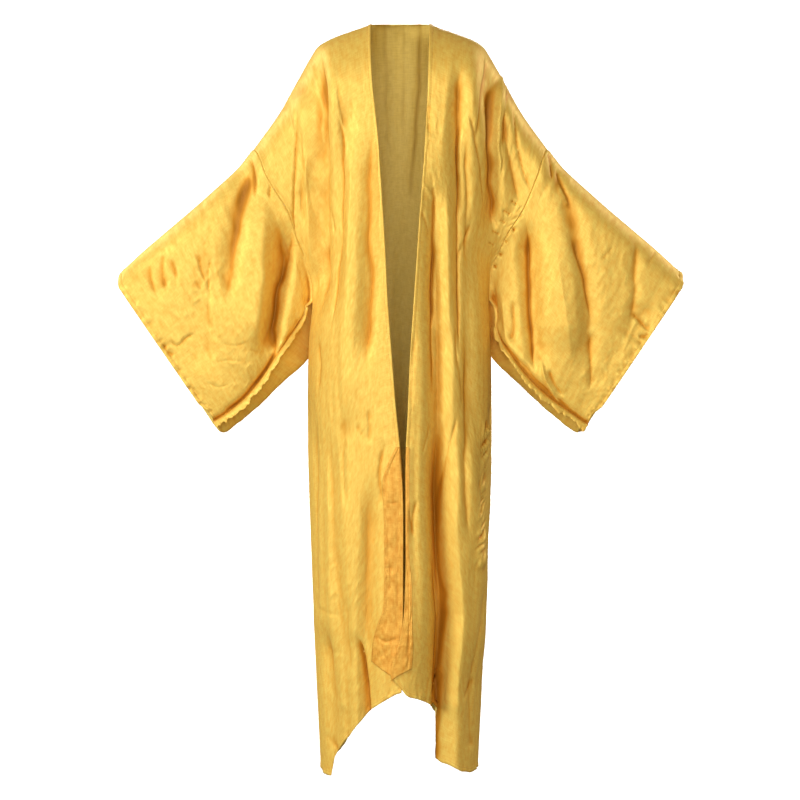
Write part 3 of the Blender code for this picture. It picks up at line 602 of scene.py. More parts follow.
# %% Tables of the creases, in millimetres
CREASES = {
    ("front", RIGHT): (
        (9, 2.5, 8, (154, 50), (152, 100), (147, 154), (145, 227), (148, 300), (150, 372), (154, 427),
         (157, 500), (160, 590)),
        (-3.5, 2.5, 3, (184, 72), (171, 96), (165, 140), (159, 200), (160, 260)),
        (5, 3, 4, (149, 404), (149, 462), (151, 528)),
        (5, 2, 5, (126, 150), (121, 183), (110, 245), (112, 300), (115, 372), (117, 445), (123, 482),
         (128, 547), (134, 620)),
        (3, 8, 5, (120, 119), (116, 166), (108, 220)),
        (4.5, 5, 2, (196, 154), (200, 214), (202, 254), (207, 322), (208, 369), (204, 415), (192, 443)),
        (4, 6, 6, (186, 185), (190, 273), (192, 341), (188, 410)),
        (-3, 5, 5, (178, 244), (180, 322), (178, 419), (173, 478)),
        (6, 8, 9, (54, 190), (58, 260), (62, 330), (63, 420), (56, 500), (62, 600), (72, 690)),
        (-3, 8, 8, (95, 244), (95, 380), (100, 497)),
        (-3, 5, 5, (42, 224), (40, 341), (36, 478)),
        (2, 2, 3, (141, 361), (136, 390), (132, 415)),
        (4, 4, 7, (159, 604), (157, 665), (159, 716)),
        (5, 4, 7, (163, 731), (165, 809), (163, 887), (165, 965), (163, 1080), (160, 1170)),
        (-4, 8, 10, (142, 800), (140, 960), (132, 1100), (128, 1240)),
        (2.5, 5, 2, (63, 747), (61, 778), (61, 817)),
        (1.8, 3, 2, (87, 778), (71, 798)),
        (3.5, 9, 9, (102, 739), (110, 809), (108, 878), (104, 946)),
        (4, 5, 4, (30, 809), (38, 848), (40, 887), (38, 936)),
        (-3, 9, 9, (126, 1043), (122, 1121), (118, 1238), (116, 1316)),
        (3, 8, 8, (100, 1102), (102, 1180), (98, 1258)),
        (10, 2.5, 14, (88, 1170), (77, 1206), (70, 1250), (64, 1295), (60, 1345)),
        (0.8, 3, 3, (165, 1129), (137, 1141), (112, 1145)),
        (0.7, 3, 3, (159, 1199), (134, 1215), (108, 1215)),
        (2, 4, 2.5, (151, 1375), (134, 1398), (118, 1418)),
    ),
    ("front", LEFT): (
        (6, 10, 13, (112, 90), (109, 150), (110, 230), (114, 310), (116, 360)),
        (9, 2.5, 4, (109, 180), (113, 260), (117, 350), (119, 430), (118, 540), (114, 660)),
        (-3, 2.5, 2.5, (122, 201), (120, 263), (122, 361)),
        (5.5, 3, 6, (130, 224), (130, 283), (132, 380), (134, 478)),
        (4.5, 2, 5, (124, 160), (131, 186), (139, 215), (144, 240), (151, 278), (156, 320), (160, 366)),
        (6, 2, 9, (168, 60), (163, 105), (156, 150), (152, 182), (147, 215), (144, 240)),
        (11, 9, 4, (179, 120), (178, 190), (179, 265), (180, 330), (180, 404)),
        (-9, 2.6, 3.2, (200, 85), (193, 120), (188, 160), (187, 205), (188, 245), (190, 320)),
        (7, 3, 8, (206, 120), (200, 160), (197, 205), (198, 250)),
        (6, 6, 8, (194, 162), (200, 205), (210, 263), (221, 318), (229, 361)),
        (4, 3, 3, (214, 158), (223, 220), (233, 269), (243, 310), (256, 341)),
        (2.5, 3, 3, (190, 333), (198, 365), (204, 392)),
        (3.5, 5, 8, (50, 162), (52, 205), (46, 228)),
        (6, 8, 3, (58, 296), (64, 330), (68, 372), (68, 445), (65, 518), (66, 610)),
        (-3.5, 2.5, 2, (40, 322), (50, 330), (58, 340), (65, 353)),
        (3, 2, 3, (141, 383), (132, 420), (123, 450), (113, 477)),
        (3, 3, 3, (36, 365), (48, 392), (58, 427)),
        (5, 4, 4, (69, 411), (67, 517), (63, 614), (65, 731)),
        (3, 5, 8, (26, 595), (20, 673), (17, 751)),
        (4.5, 2.5, 6, (108, 571), (108, 644), (116, 684), (120, 716), (114, 755)),
        (3.5, 2, 4, (114, 747), (104, 790), (96, 829), (88, 895), (84, 950), (88, 1014)),
        (7, 16, 3, (78, 770), (80, 870), (83, 988), (92, 1073), (100, 1117), (94, 1206), (89, 1292),
         (86, 1420)),
        (-4, 3, 14, (92, 860), (96, 1000), (106, 1080), (113, 1130), (106, 1220), (100, 1330)),
        (-3, 8, 8, (93, 614), (95, 731), (89, 790)),
        (3, 2, 2.5, (61, 770), (52, 805), (40, 837)),
        (6, 7, 8, (132, 595), (130, 692), (128, 790), (120, 868), (124, 965), (128, 1024)),
        (3, 3, 6, (143, 868), (151, 926), (147, 1004)),
        (-4, 8, 8, (100, 887), (104, 1004), (112, 1121), (110, 1316)),
        (7, 6, 3.5, (65, 1004), (77, 1102), (83, 1156), (79, 1238), (75, 1316), (73, 1404)),
        (4.5, 8, 6, (159, 1072), (147, 1160), (137, 1238), (134, 1316), (136, 1394)),
        (3, 2, 3, (34, 918), (24, 950), (20, 989)),
        (3, 3, 2, (15, 936), (20, 965), (26, 993)),
        (2, 3, 3, (61, 1254), (54, 1281), (50, 1305)),
        (2, 3, 3, (143, 1262), (132, 1285), (124, 1301)),
        (2.5, 2, 3, (173, 731), (175, 786), (171, 821)),
        (4, 1.8, 2.2, (211, 346), (218, 350), (224, 355)),
        (4.5, 1.8, 2.2, (197, 364), (206, 370), (213, 375)),
        (3.5, 1.8, 2.2, (192, 383), (199, 387), (204, 392)),
        (4.5, 1.8, 2.2, (178, 402), (186, 407), (193, 412)),
        (3.5, 1.8, 2.2, (171, 424), (178, 428), (183, 433)),
    ),
    ("facing", RIGHT): (
        (1.8, 2.5, 3, (44, 1181), (26, 1190), (6, 1183)),
        (1, 2, 2, (27, 925), (16, 927), (5, 924)),
        (1.2, 3, 2, (22, 1030), (19, 1062), (21, 1098)),
        (1.9, 4, 9, (9, 860), (5, 940), (5, 1040), (6, 1130), (9, 1200)),
        (-1.2, 5, 5, (26, 880), (26, 960), (27, 1030)),
        (0.9, 2, 2, (29, 1052), (21, 1049), (13, 1053)),
        (-1.3, 1.5, 1.5, (60, 1224), (46, 1214), (33, 1200)),
        (-1.2, 1.5, 1.5, (52, 1238), (36, 1226), (20, 1208)),
    ),
    ("facing", LEFT): (
        (1.4, 3, 2, (16, 950), (19, 1005), (20, 1060)),
        (1.3, 2, 3, (24, 1110), (16, 1170), (12, 1240)),
    ),
    ("sleeve_front", RIGHT): (
        (5, 6, 18, (290, 262), (301, 308), (309, 361), (315, 411), (325, 470), (338, 545)),
        (4.5, 3, 4, (295, 255), (286, 279), (282, 306), (280, 345)),
        (3.5, 3, 3, (249, 296), (252, 318), (253, 345)),
        (12, 3.5, 21, (217, 372), (211, 410), (211, 449), (219, 490), (227, 519), (232, 571), (240, 623),
         (248, 656), (263, 683), (283, 704), (300, 721), (318, 733)),
        (-4, 16, 24, (262, 361), (266, 458), (272, 556), (284, 640)),
        (8, 5, 7, (190, 439), (180, 482), (178, 521), (184, 560)),
        (5, 4, 7, (194, 567), (210, 595), (227, 618)),
        (3, 2, 3.5, (366, 450), (371, 486), (371, 517), (366, 548)),
        (3, 3, 2, (395, 447), (387, 478), (375, 509)),
        (2, 2.5, 2.5, (360, 392), (370, 415), (383, 439)),
        (2, 3, 3, (373, 536), (373, 567), (368, 599)),
        (2, 3, 3, (399, 501), (385, 521), (379, 536)),
        (3, 3, 5, (449, 614), (430, 626), (414, 612), (397, 603)),
        (4.5, 8, 8, (459, 443), (463, 478), (455, 521)),
        (4, 4, 6, (446, 454), (438, 486), (436, 521)),
        (3, 5, 5, (488, 462), (485, 497), (473, 528)),
        (0.8, 2, 2, (346, 622), (321, 625), (293, 619)),
        (0.8, 1.8, 1.8, (293, 634), (274, 640), (262, 638)),
        (0.8, 1.8, 1.8, (282, 655), (266, 663), (258, 661)),
        (0.7, 2, 2, (358, 659), (329, 654), (300, 658)),
        (0.8, 2, 2, (378, 697), (352, 706), (330, 700)),
        (4, 6, 6, (463, 616), (449, 638), (434, 645)),
        (6, 4, 8, (258, 686), (286, 718), (317, 741), (348, 755)),
    ),
    ("sleeve_front", LEFT): (
        (4.5, 2, 3, (286, 248), (290, 271), (294, 306)),
        (3.5, 3, 2.5, (297, 275), (311, 310), (323, 345), (329, 365)),
        (-3, 2.5, 2.5, (305, 314), (315, 337), (325, 357)),
        (9, 8, 5, (235, 369), (243, 404), (241, 450), (242, 505), (243, 560), (247, 606), (254, 657),
         (268, 700)),
        (-4, 22, 10, (296, 419), (312, 517), (326, 614), (336, 680)),
        (4, 2.5, 8, (319, 404), (332, 433), (344, 470), (356, 513), (364, 556), (366, 587)),
        (5, 7, 7, (366, 595), (368, 634), (370, 684), (366, 716)),
        (4, 8, 8, (457, 411), (455, 470), (451, 536), (444, 595)),
        (3.5, 2.5, 5, (448, 560), (463, 579), (483, 601)),
        (4, 4, 4, (461, 610), (473, 610), (483, 603)),
        (7, 6, 6, (178, 517), (182, 556), (186, 585)),
        (5, 4, 7, (215, 536), (217, 579), (212, 622)),
        (-5, 5, 5, (198, 528), (202, 575), (206, 626)),
        (-5, 2.5, 3, (272, 649), (278, 684), (290, 710), (305, 733), (315, 743)),
        (4, 4, 4, (286, 669), (297, 700), (317, 727)),
        (2, 3, 3, (389, 462), (401, 447), (412, 435)),
        (2, 3, 3, (479, 470), (490, 454), (498, 439)),
        (6, 8, 4, (194, 614), (223, 647), (262, 692), (303, 727), (338, 753)),
        (5, 2, 2.8, (227, 348), (235, 357), (239, 364)),
        (6, 2.2, 3.2, (219, 362), (229, 372), (234, 381)),
        (4.5, 1.8, 2.4, (212, 373), (219, 381), (223, 387)),
        (6.5, 2.2, 3.4, (205, 386), (216, 398), (221, 407)),
        (4.5, 1.8, 2.4, (198, 397), (205, 405), (209, 411)),
        (6, 2, 3, (192, 409), (201, 419), (206, 427)),
        (5, 1.8, 2.6, (186, 421), (194, 429), (198, 436)),
        (6.5, 2.2, 3.2, (181, 434), (191, 445), (197, 454)),
        (4.5, 1.8, 2.4, (176, 447), (183, 455), (187, 461)),
        (5.5, 2, 2.8, (173, 460), (182, 470), (186, 477)),
    ),
}
# Creases of the sides that the photograph hides
HIDDEN_CREASES = {
    ("back", LEFT): (
        (-6, 9, 8, (36, -60), (37, 40), (36, 110), (31, 190), (22, 280), (16, 380)),
        (-2, 6, 6, (5, -50), (6, 80), (4, 220)),
        (7, 5, 7, (146, 70), (150, 210), (150, 390), (146, 600)),
        (5, 3, 8, (92, 130), (96, 280), (106, 420), (112, 560)),
        (3, 7, 6, (40, 160), (44, 330), (42, 520)),
        (-4, 3, 3, (182, 112), (176, 190), (174, 270)),
        (7, 6, 5, (64, 620), (66, 860), (72, 1100), (74, 1350)),
        (4, 6, 3, (124, 760), (128, 900), (122, 1060), (118, 1200)),
        (3.5, 5, 5, (14, 760), (16, 940), (12, 1150)),
        (2.5, 3, 3, (150, 980), (140, 1040), (126, 1080)),
        (2.5, 4, 2, (30, 420), (44, 500), (60, 560)),
    ),
    ("back", RIGHT): (
        (-2.5, 7, 7, (31, -50), (30, 60), (28, 160), (24, 260)),
        (2, 6, 6, (15, -50), (14, 80), (12, 200)),
        (7, 6, 6, (150, 60), (153, 200), (150, 380), (146, 560)),
        (4, 3, 8, (96, 110), (104, 260), (112, 420), (122, 600)),
        (4, 8, 5, (48, 180), (46, 340), (52, 520), (60, 700)),
        (-4, 3, 3, (178, 100), (172, 170), (170, 250)),
        (6, 5, 6, (76, 560), (80, 800), (84, 1050), (82, 1320)),
        (4, 3, 6, (118, 820), (110, 950), (104, 1100), (108, 1260)),
        (3, 4, 4, (20, 700), (24, 860), (22, 1040)),
        (2.5, 3, 3, (140, 900), (128, 960), (112, 1010)),
        (2.5, 2, 4, (60, 260), (72, 330), (88, 390)),
    ),
    ("sleeve_back", RIGHT): (
        (7, 5, 10, (296, 280), (298, 360), (306, 450), (318, 560)),
        (6, 8, 7, (226, 390), (228, 480), (246, 580), (272, 680)),
        (4, 4, 6, (400, 420), (392, 520), (376, 620)),
        (3, 3, 3, (350, 470), (352, 520), (346, 570)),
        (3.5, 6, 6, (470, 470), (462, 540), (446, 610)),
        (2.5, 3, 3, (420, 640), (400, 650), (380, 640)),
    ),
    ("sleeve_back", LEFT): (
        (7, 10, 5, (286, 276), (284, 360), (280, 460), (292, 590)),
        (5, 6, 6, (232, 400), (230, 500), (248, 610), (286, 700)),
        (4, 6, 4, (392, 400), (388, 510), (368, 630)),
        (3, 3, 3, (336, 420), (344, 480), (340, 550)),
        (3.5, 6, 6, (462, 460), (452, 540), (432, 620)),
        (2.5, 3, 3, (410, 650), (392, 652), (372, 640)),
    ),
}
CREASE_WANDER = 0.0018
WANDER_STEP = 0.035
CREASE_SHARP = 1.3
FINE_CREASES = in_metres({**CREASES, **HIDDEN_CREASES}, True)


def wander(points, seed):
    """The points, moved about a little so that no crease runs in a perfect curve."""
    x, z = points[..., 0] / WANDER_STEP, points[..., 2] / WANDER_STEP
    moved = points.copy()
    moved[..., 0] += CREASE_WANDER * lattice(x + 20.0, z + 50.0, seed)
    moved[..., 2] += CREASE_WANDER * lattice(x + 35.0, z + 60.0, seed + 1)
    return moved


def creases(points, layer, side):
    """How far the creases of one layer push each point out."""
    return fold_shift(wander(points, SEEDS[layer]["wander"] + side), layer, side, FINE_CREASES, CREASE_SHARP)


print("creases:", sum(len(rows) for rows in FINE_CREASES.values()))

# %% [markdown]
# ## Crumpled places, and seams that gather the cloth
# A crushed patch is a round place with its centre, its reach and how high its little ridges stand. A seam
# whose thread was pulled a little too tight gathers the cloth on both sides into short waves that die out
# in a centimetre: a row gives the seam's line, how high the waves stand, how far they reach and how long
# each is.

# %% Tables of crumples and gathered seams, in millimetres
# For each layer and side: distance from the middle and drop of the place, its reach, its height
CRUMPLES = {
    ("front", RIGHT): (
        (68, 790, 50, 1.6),
        (120, 1100, 90, 0.9),
        (45, 1290, 45, 1.6),
        (110, 1390, 40, 1.4),
        (190, 210, 50, 0.9),
    ),
    ("front", LEFT): (
        (45, 215, 40, 1.8),
        (50, 350, 40, 1.6),
        (40, 1290, 50, 2),
        (120, 1280, 60, 1),
        (230, 260, 50, 1.6),
        (150, 800, 60, 0.9),
    ),
    ("facing", RIGHT): (
        (18, 1062, 30, 1.2),
        (40, 1222, 34, 1.6),
    ),
    ("facing", LEFT): (
        (22, 1160, 40, 0.9),
        (6, 1225, 36, 1.2),
    ),
    ("sleeve_front", RIGHT): (
        (385, 510, 60, 2.4),
        (310, 650, 60, 1.6),
        (440, 620, 50, 1.6),
        (470, 500, 60, 1),
    ),
    ("sleeve_front", LEFT): (
        (400, 470, 80, 0.9),
        (470, 600, 45, 2),
        (380, 700, 60, 1.2),
        (320, 330, 50, 1.2),
    ),
    ("back", RIGHT): (
        (70, 760, 90, 1),
        (110, 1300, 60, 1.4),
    ),
    ("back", LEFT): (
        (80, 520, 80, 1),
        (120, 1240, 80, 1.4),
        (30, 1290, 60, 1.2),
    ),
    ("sleeve_back", RIGHT): (
        (370, 500, 70, 1.8),
        (450, 600, 60, 1.4),
    ),
    ("sleeve_back", LEFT): (
        (360, 480, 80, 1.6),
        (440, 610, 60, 1.6),
    ),
}
# For each layer and side: height of the waves, reach, length of a wave, then the line of the seam in pairs
GATHERS = {
    ("front", LEFT): (
        (8, 9, 20, (168, 760), (162, 845), (156, 902), (149, 959), (151, 1006), (147, 1062)),
        (2, 6, 12, (236, 352), (214, 397), (195, 434), (174, 471)),
    ),
    ("sleeve_front", LEFT): (
        (2.4, 5, 11, (236, 352), (214, 397), (195, 434), (174, 471)),
        (1.2, 9, 11, (286, 246), (262, 285), (236, 352)),
    ),
    ("sleeve_front", RIGHT): (
        (1.3, 9, 13, (286, 246), (252, 300), (212, 361)),
        (1.8, 9, 9, (212, 361), (206, 411), (188, 445), (171, 515)),
    ),
    ("front", RIGHT): (
        (1, 6, 10, (212, 361), (206, 411), (188, 445), (171, 515)),
    ),
    ("back", RIGHT): (
        (1.3, 8, 10, (170, 560), (175, 760), (168, 950)),
    ),
    ("back", LEFT): (
        (1.5, 8, 9, (171, 700), (170, 880), (160, 1080)),
    ),
}
BASE_CRUMPLE = 0.00022
CRUMPLE_REST = 0.35
# How far the waves lean, how far they drift from even, their width in metres, and their least strength
GATHER_LEAN = 1.1
GATHER_DRIFT = 0.8
GATHER_WIDTH = 0.012
GATHER_STRENGTH = 0.55
GATHER_END = 0.08


def crumple_height(points, u, v, layer, side):
    """Height of the crushed patches of one layer, with a trace of it everywhere."""
    reach = np.full(points.shape[:-1], BASE_CRUMPLE)
    for patch_side, (x, drop, radius, height) in rows_for(CRUMPLES, layer, side):
        away = np.hypot(points[..., 0] - patch_side * x * MM, points[..., 2] + drop * MM) / (radius * MM)
        reach = reach + height * MM * np.exp(-away ** 2)
    return reach * (crumple(u, v, SEEDS[layer]["crumple"] + side) - CRUMPLE_REST)


def gather_height(points, layer, side):
    """Short waves beside the seams that are gathered."""
    total = np.zeros(points.shape[:-1])
    seed = SEEDS[layer]["gather"] + side
    for row_side, (height, reach, pitch, *pairs) in rows_for(GATHERS, layer, side):
        line = np.array(pairs) * (row_side, -1.0) * MM
        length = np.linalg.norm(np.diff(line, axis=0), axis=1).sum()
        best, offset, share = line_distance(points[..., (0, 2)], line, row_side)
        run = share * length / (pitch * MM)
        slant = GATHER_LEAN * offset / (reach * MM) + GATHER_DRIFT * lattice(run * 0.6, run * 0.0, seed + 1)
        waves = 1.0 - 2.0 * np.abs(lattice(run * 2.0 + slant, offset / GATHER_WIDTH, seed))
        uneven = (1.0 - GATHER_STRENGTH) * lattice(run * 0.35, run * 0.0 + 7.0, seed + 2)
        fade = smooth(share, 0.0, GATHER_END) * (1.0 - smooth(share, 1.0 - GATHER_END, 1.0))
        strength = height * MM * fade * (GATHER_STRENGTH + uneven)
        total = total + strength * waves * np.exp(-(best / (reach * MM)) ** 2)
    return total


print("crumpled places:", sum(len(rows) for rows in CRUMPLES.values()))
print("gathered seams:", sum(len(rows) for rows in GATHERS.values()))

# %% [markdown]
# ## Hems
# Every free edge is a narrow hem: the cloth is turned in twice and stitched 8 mm from the edge. The hem
# stands up by the thickness of the folded cloth, the stitch line bites into it, and the pulled thread
# ripples it.

# %% Profile of a hem
HEM_WIDTH = 0.008
HEM_HEIGHT = 0.0007
HEM_STEP = 0.001
STITCH_BITE = 0.0006
BITE_WIDTH = 0.0012
# Share of the ripples, their length along the hem and their depth across it
HEM_WAVES = (
    (1.0, 0.0065, 0.014),
    (0.6, 0.0130, 0.020),
)
# Widths of the hem at which the ripples have died out
WAVES_END = 2.6


def hem_height(distance, run, pucker, seed):
    """Height of a hem at a distance from its edge, with ripples along its run as high as pucker says."""
    raised = HEM_HEIGHT * (1.0 - smooth(distance, HEM_WIDTH - HEM_STEP, HEM_WIDTH + HEM_STEP))
    bite = STITCH_BITE * np.exp(-((distance - HEM_WIDTH) / BITE_WIDTH) ** 2)
    waves = sum(share * lattice(run / length, distance / depth, seed + number)
                for number, (share, length, depth) in enumerate(HEM_WAVES))
    return raised - bite + pucker * waves * (1.0 - smooth(distance, HEM_WIDTH, WAVES_END * HEM_WIDTH))


print("hem width mm:", HEM_WIDTH / MM)

# %% [markdown]
# ## From points to cloth
# Every panel becomes a mesh in the same way: a grid of points, joined into quads, with its flat cut as UV
# map in metres. How deep each point lies in a fold is kept as an attribute, for the painted shade and
# painted highlight in the satin's colour. A Solidify modifier gives the cloth its two faces, and the wrong
# side takes the second material.

# %% Build a cloth object
CLOTH_THICKNESS = 0.0006
PAINTED_SHADE_REACH = 0.024
FULL_PAINTED_SHADE = 0.0052


def show(thing):
    """Put an object into the scene."""
    bpy.context.scene.collection.objects.link(thing)


def softened(field, axis, spacing, closed):
    """A field on the grid, averaged along one axis over the reach of a valley."""
    count = max(1, int(round(PAINTED_SHADE_REACH / spacing)))
    padding = [(0, 0), (0, 0)]
    padding[axis] = (count, count)
    padded = np.pad(field, padding, mode="wrap" if closed and axis == 1 else "edge")
    length = field.shape[axis]
    weights = np.cos(np.linspace(-1.0, 1.0, 2 * count + 3)[1:-1] * math.pi / 2.0) ** 2
    parts = [weight * np.take(padded, range(start, start + length), axis=axis)
             for start, weight in enumerate(weights)]
    return sum(parts) / weights.sum()


def valleys(field, flat_u, flat_v, closed):
    """Painted shade and highlight mask: how deep each point lies below its surroundings, -1 on a ridge to 1
    in a valley.
    """
    around = field
    for axis in (0, 1):
        step = np.gradient(flat_u, axis=axis) ** 2 + np.gradient(flat_v, axis=axis) ** 2
        around = softened(around, axis, math.sqrt(float(np.median(step))), closed)
    return np.tanh((around - field) / FULL_PAINTED_SHADE)


def cloth(name, panel, closed, flip, outer, inner):
    """Make a piece of cloth from a panel: its points, its cut as UV map, its painted-shade valleys as an
    attribute.
    """
    points, flat_u, flat_v, shift = panel
    # How deep each point lies in a fold: the mask of the satin's painted shade and painted highlight.
    depth = valleys(shift, flat_u, flat_v, closed)
    rows, columns = points.shape[:2]
    mesh = bpy.data.meshes.new(name)
    index = np.arange(rows * columns).reshape(rows, columns)
    if closed:
        index = np.concatenate((index, index[:, :1]), axis=1)
        flat_u, flat_v = (np.concatenate((flat, 2.0 * flat[:, -1:] - flat[:, -2:-1]), axis=1)
                          for flat in (flat_u, flat_v))
    near, far = slice(None, -1), slice(1, None)
    places = [(near, near), (near, far), (far, far), (far, near)]
    if flip:
        places = places[::-1]
    faces = np.stack([index[place] for place in places], axis=-1).reshape(-1, 4)
    mesh.from_pydata(points.reshape(-1, 3).tolist(), [], faces.tolist())
    layer = mesh.uv_layers.new(name="cut")
    uv = np.stack([np.stack((flat_u[place], flat_v[place]), axis=-1) for place in places], axis=-2)
    layer.data.foreach_set("uv", uv.reshape(-1))
    # The valley attribute carries the painted shade mask to the material.
    valley = mesh.attributes.new("valley", "FLOAT", "POINT")
    valley.data.foreach_set("value", depth.reshape(-1))
    mesh.shade_smooth()
    mesh.materials.append(outer)
    mesh.materials.append(inner)
    piece = bpy.data.objects.new(name, mesh)
    show(piece)
    wall = piece.modifiers.new("Cloth", "SOLIDIFY")
    wall.thickness = CLOTH_THICKNESS
    wall.offset = 0.0
    wall.material_offset = 1
    wall.use_rim = True
    print(name, "faces:", len(faces))
    return piece


# %% [markdown]
# ## Satin
# The robe is polyester satin: long floats of smooth thread on the right side give a soft directional sheen,
# and the wrong side is duller and browner. Light that bounces between two sides of a fold turns deeper and
# redder each time; that shade is painted into the colour, mixed towards amber and deep brown where the valley
# attribute is high, and ridges are painted lighter as a painted highlight. Satin threads are about 0.1 mm,
# far too fine to show, so the grain is drawn about ten times as coarse.

# %% Material helpers
def linear(hex_colour):
    """Turn an sRGB hex colour into linear RGBA."""
    channels = [int(hex_colour[i:i + 2], 16) / 255.0 for i in (1, 3, 5)]
    return tuple(c / 12.92 if c <= 0.04045 else ((c + 0.055) / 1.055) ** 2.4 for c in channels) + (1.0,)


def add(tree, kind, settings=(), inputs=(), **links):
    """Add a node: settings are its properties, inputs its socket values, links what feeds its sockets."""
    node = tree.nodes.new(kind)
    for key, value in dict(settings).items():
        setattr(node, key, value)
    for key, value in dict(inputs).items():
        node.inputs[key].default_value = value
    for key, source in links.items():
        tree.links.new(source, node.inputs[key.replace("_", " ")])
    return node


def plain(name, hex_colour, roughness):
    """Matt material of one colour."""
    material = bpy.data.materials.new(name)
    material.use_nodes = True
    shader = material.node_tree.nodes["Principled BSDF"]
    shader.inputs["Base Color"].default_value = linear(hex_colour)
    shader.inputs["Roughness"].default_value = roughness
    return material


def mix(tree, share, first, second):
    """Mix two colours by a share, each a socket or a colour."""
    node = tree.nodes.new("ShaderNodeMix")
    node.data_type = "RGBA"
    tree.links.new(share, node.inputs["Factor"])
    for socket, value in ((node.inputs[6], first), (node.inputs[7], second)):
        if isinstance(value, tuple):
            socket.default_value = value
        else:
            tree.links.new(value, socket)
    return node.outputs[2]


# %% Satin material
# Width and length of each pattern on the cloth in millimetres, and its detail
PATTERNS = {
    "warp": (1.6, 20.0, 2.0),
    "weft": (20.0, 1.8, 2.0),
    "mottle": (9.0, 14.0, 3.0),
    "crush": (16.0, 22.0, 4.0),
}
# Where a tint shows: the pattern or the valleys, the values between which it comes, its most, the tint
TINTS = (
    ("weft", 0.40, 0.75, 0.26, "amber"),
    ("warp", 0.40, 0.75, 0.20, "amber"),
    # The valley rows paint colour by fold depth: painted highlight on ridges, painted shade of amber and deep
    # brown in folds.
    ("valley", -0.10, -1.00, 0.35, "light"),
    ("valley", 0.04, 0.50, 0.90, "amber"),
    ("valley", 0.40, 0.95, 0.95, "deep"),
)
# Pattern, strength and height in metres of its relief
RELIEF = (
    ("warp", 0.30, 0.00008),
    ("weft", 0.30, 0.00010),
    ("mottle", 0.35, 0.0006),
    ("crush", 0.50, 0.0018),
)
PATTERN_ROUGHNESS = 0.55
SATIN_IOR = 1.5
SATIN_SPECULAR = 0.22
# A fold is a valley on the right side of the cloth and a ridge on its wrong side
RIGHT_SIDE = 1.0
WRONG_SIDE = -1.0


def pattern(tree, uv, width, length, detail):
    """Noise on the flat cloth whose patches have a width and a length in millimetres."""
    scale = (1.0 / (width * MM), 1.0 / (length * MM), 1.0)
    scaled = add(tree, "ShaderNodeMapping", inputs={"Scale": scale}, Vector=uv)
    noise = add(tree, "ShaderNodeTexNoise", Vector=scaled.outputs["Vector"],
                inputs={"Scale": 1.0, "Detail": detail, "Roughness": PATTERN_ROUGHNESS})
    return noise.outputs["Fac"]


def spread(tree, value, start, end, low, high):
    """Carry a value from one range to another."""
    limits = {"From Min": start, "From Max": end, "To Min": low, "To Max": high}
    return add(tree, "ShaderNodeMapRange", inputs=limits, Value=value).outputs["Result"]


def satin(name, colours, roughness, metallic, face):
    """Polyester satin: gold that drifts a little, painted shade in its folds and painted highlight on ridges,
    grain on both threads.
    """
    material = bpy.data.materials.new(name)
    material.use_nodes = True
    tree = material.node_tree
    shader = tree.nodes["Principled BSDF"]
    tints = {tint: linear(colour) for tint, colour in colours.items()}
    uv = add(tree, "ShaderNodeUVMap", {"uv_map": "cut"}).outputs["UV"]
    fields = {key: pattern(tree, uv, *sizes) for key, sizes in PATTERNS.items()}
    fields["valley"] = add(tree, "ShaderNodeAttribute", {"attribute_name": "valley"}).outputs["Fac"]

    tone_and_painted_shade = mix(tree, spread(tree, fields["mottle"], 0.30, 0.70, 0.0, 1.0), tints["dark"], tints["light"])
    # Mottle and grain tint the cloth; the valley rows add painted shade and painted highlight.
    for key, start, end, most, tint in TINTS:
        turn = face if key == "valley" else 1.0
        tone_and_painted_shade = mix(tree, spread(tree, fields[key], start * turn, end * turn, 0.0, most), tone_and_painted_shade, tints[tint])
    tree.links.new(tone_and_painted_shade, shader.inputs["Base Color"])

    normal = None
    for key, strength, height in RELIEF:
        bump = add(tree, "ShaderNodeBump", inputs={"Strength": strength, "Distance": height},
                   Height=fields[key])
        if normal:
            tree.links.new(normal, bump.inputs["Normal"])
        normal = bump.outputs["Normal"]
    tree.links.new(normal, shader.inputs["Normal"])

    gloss = spread(tree, fields["warp"], 0.3, 0.7, roughness - 0.05, roughness + 0.07)
    tree.links.new(gloss, shader.inputs["Roughness"])
    shader.inputs["Metallic"].default_value = metallic
    shader.inputs["IOR"].default_value = SATIN_IOR
    shader.inputs["Specular IOR Level"].default_value = SATIN_SPECULAR
    print("material:", name)
    return material


# light and dark are the satin's own drifting tone; amber and deep are painted shade in the folds, and light
# is also the painted highlight on ridges.
GOLD = satin("satin_right_side_gold",
             {"light": "#F9DA6C", "dark": "#F1C256", "amber": "#D8901E", "deep": "#945A06"},
             0.52, 0.25, RIGHT_SIDE)
# The wrong side's duller gloss is its own; its base colours are painted paler than the cloth, as painted
# light making up for the shade inside the hollow robe.
GOLD_WRONG = satin("satin_wrong_side_olive_gold",
                   {"light": "#FADF7A", "dark": "#F0D36C", "amber": "#C49E42", "deep": "#7E5818"},
                   0.62, 0.05, WRONG_SIDE)
# A darker, more orange copy of the gold satin: painted shade for the turned-out strips, which lie in shade.
FACING_GOLD_PAINTED_SHADE = satin("satin_facing_gold",
                    {"light": "#FCC85A", "dark": "#E29E38", "amber": "#C47A18", "deep": "#8C4A06"},
                    0.50, 0.25, RIGHT_SIDE)

# %% [markdown]
# ## The body panels
# Each front is a grid from the opening to the side, and the back one grid from side to side. The rows are
# the same for all three, so the shoulder and side seams meet. Long folds fade out within three centimetres
# of a seam, which holds the cloth there, and small creases run closer to it.

# %% Grids of the fronts and the back
FRONT_ROWS = 330
FRONT_COLUMNS = 140
BACK_COLUMNS = 230
BACK_ROWS = 200
SEAM_GAP = 0.0002
SEAM_EDGE = 0.003
CREASE_CALM = 0.004
SEAM_PUFF = 0.0014
PUFF_REACH = 0.009
PUFF_START = 0.02
EDGE_START = 0.01
EDGE_PUCKER = 0.0003
HEM_PUCKER = 0.0007
CUFF_PUCKER = 0.0018
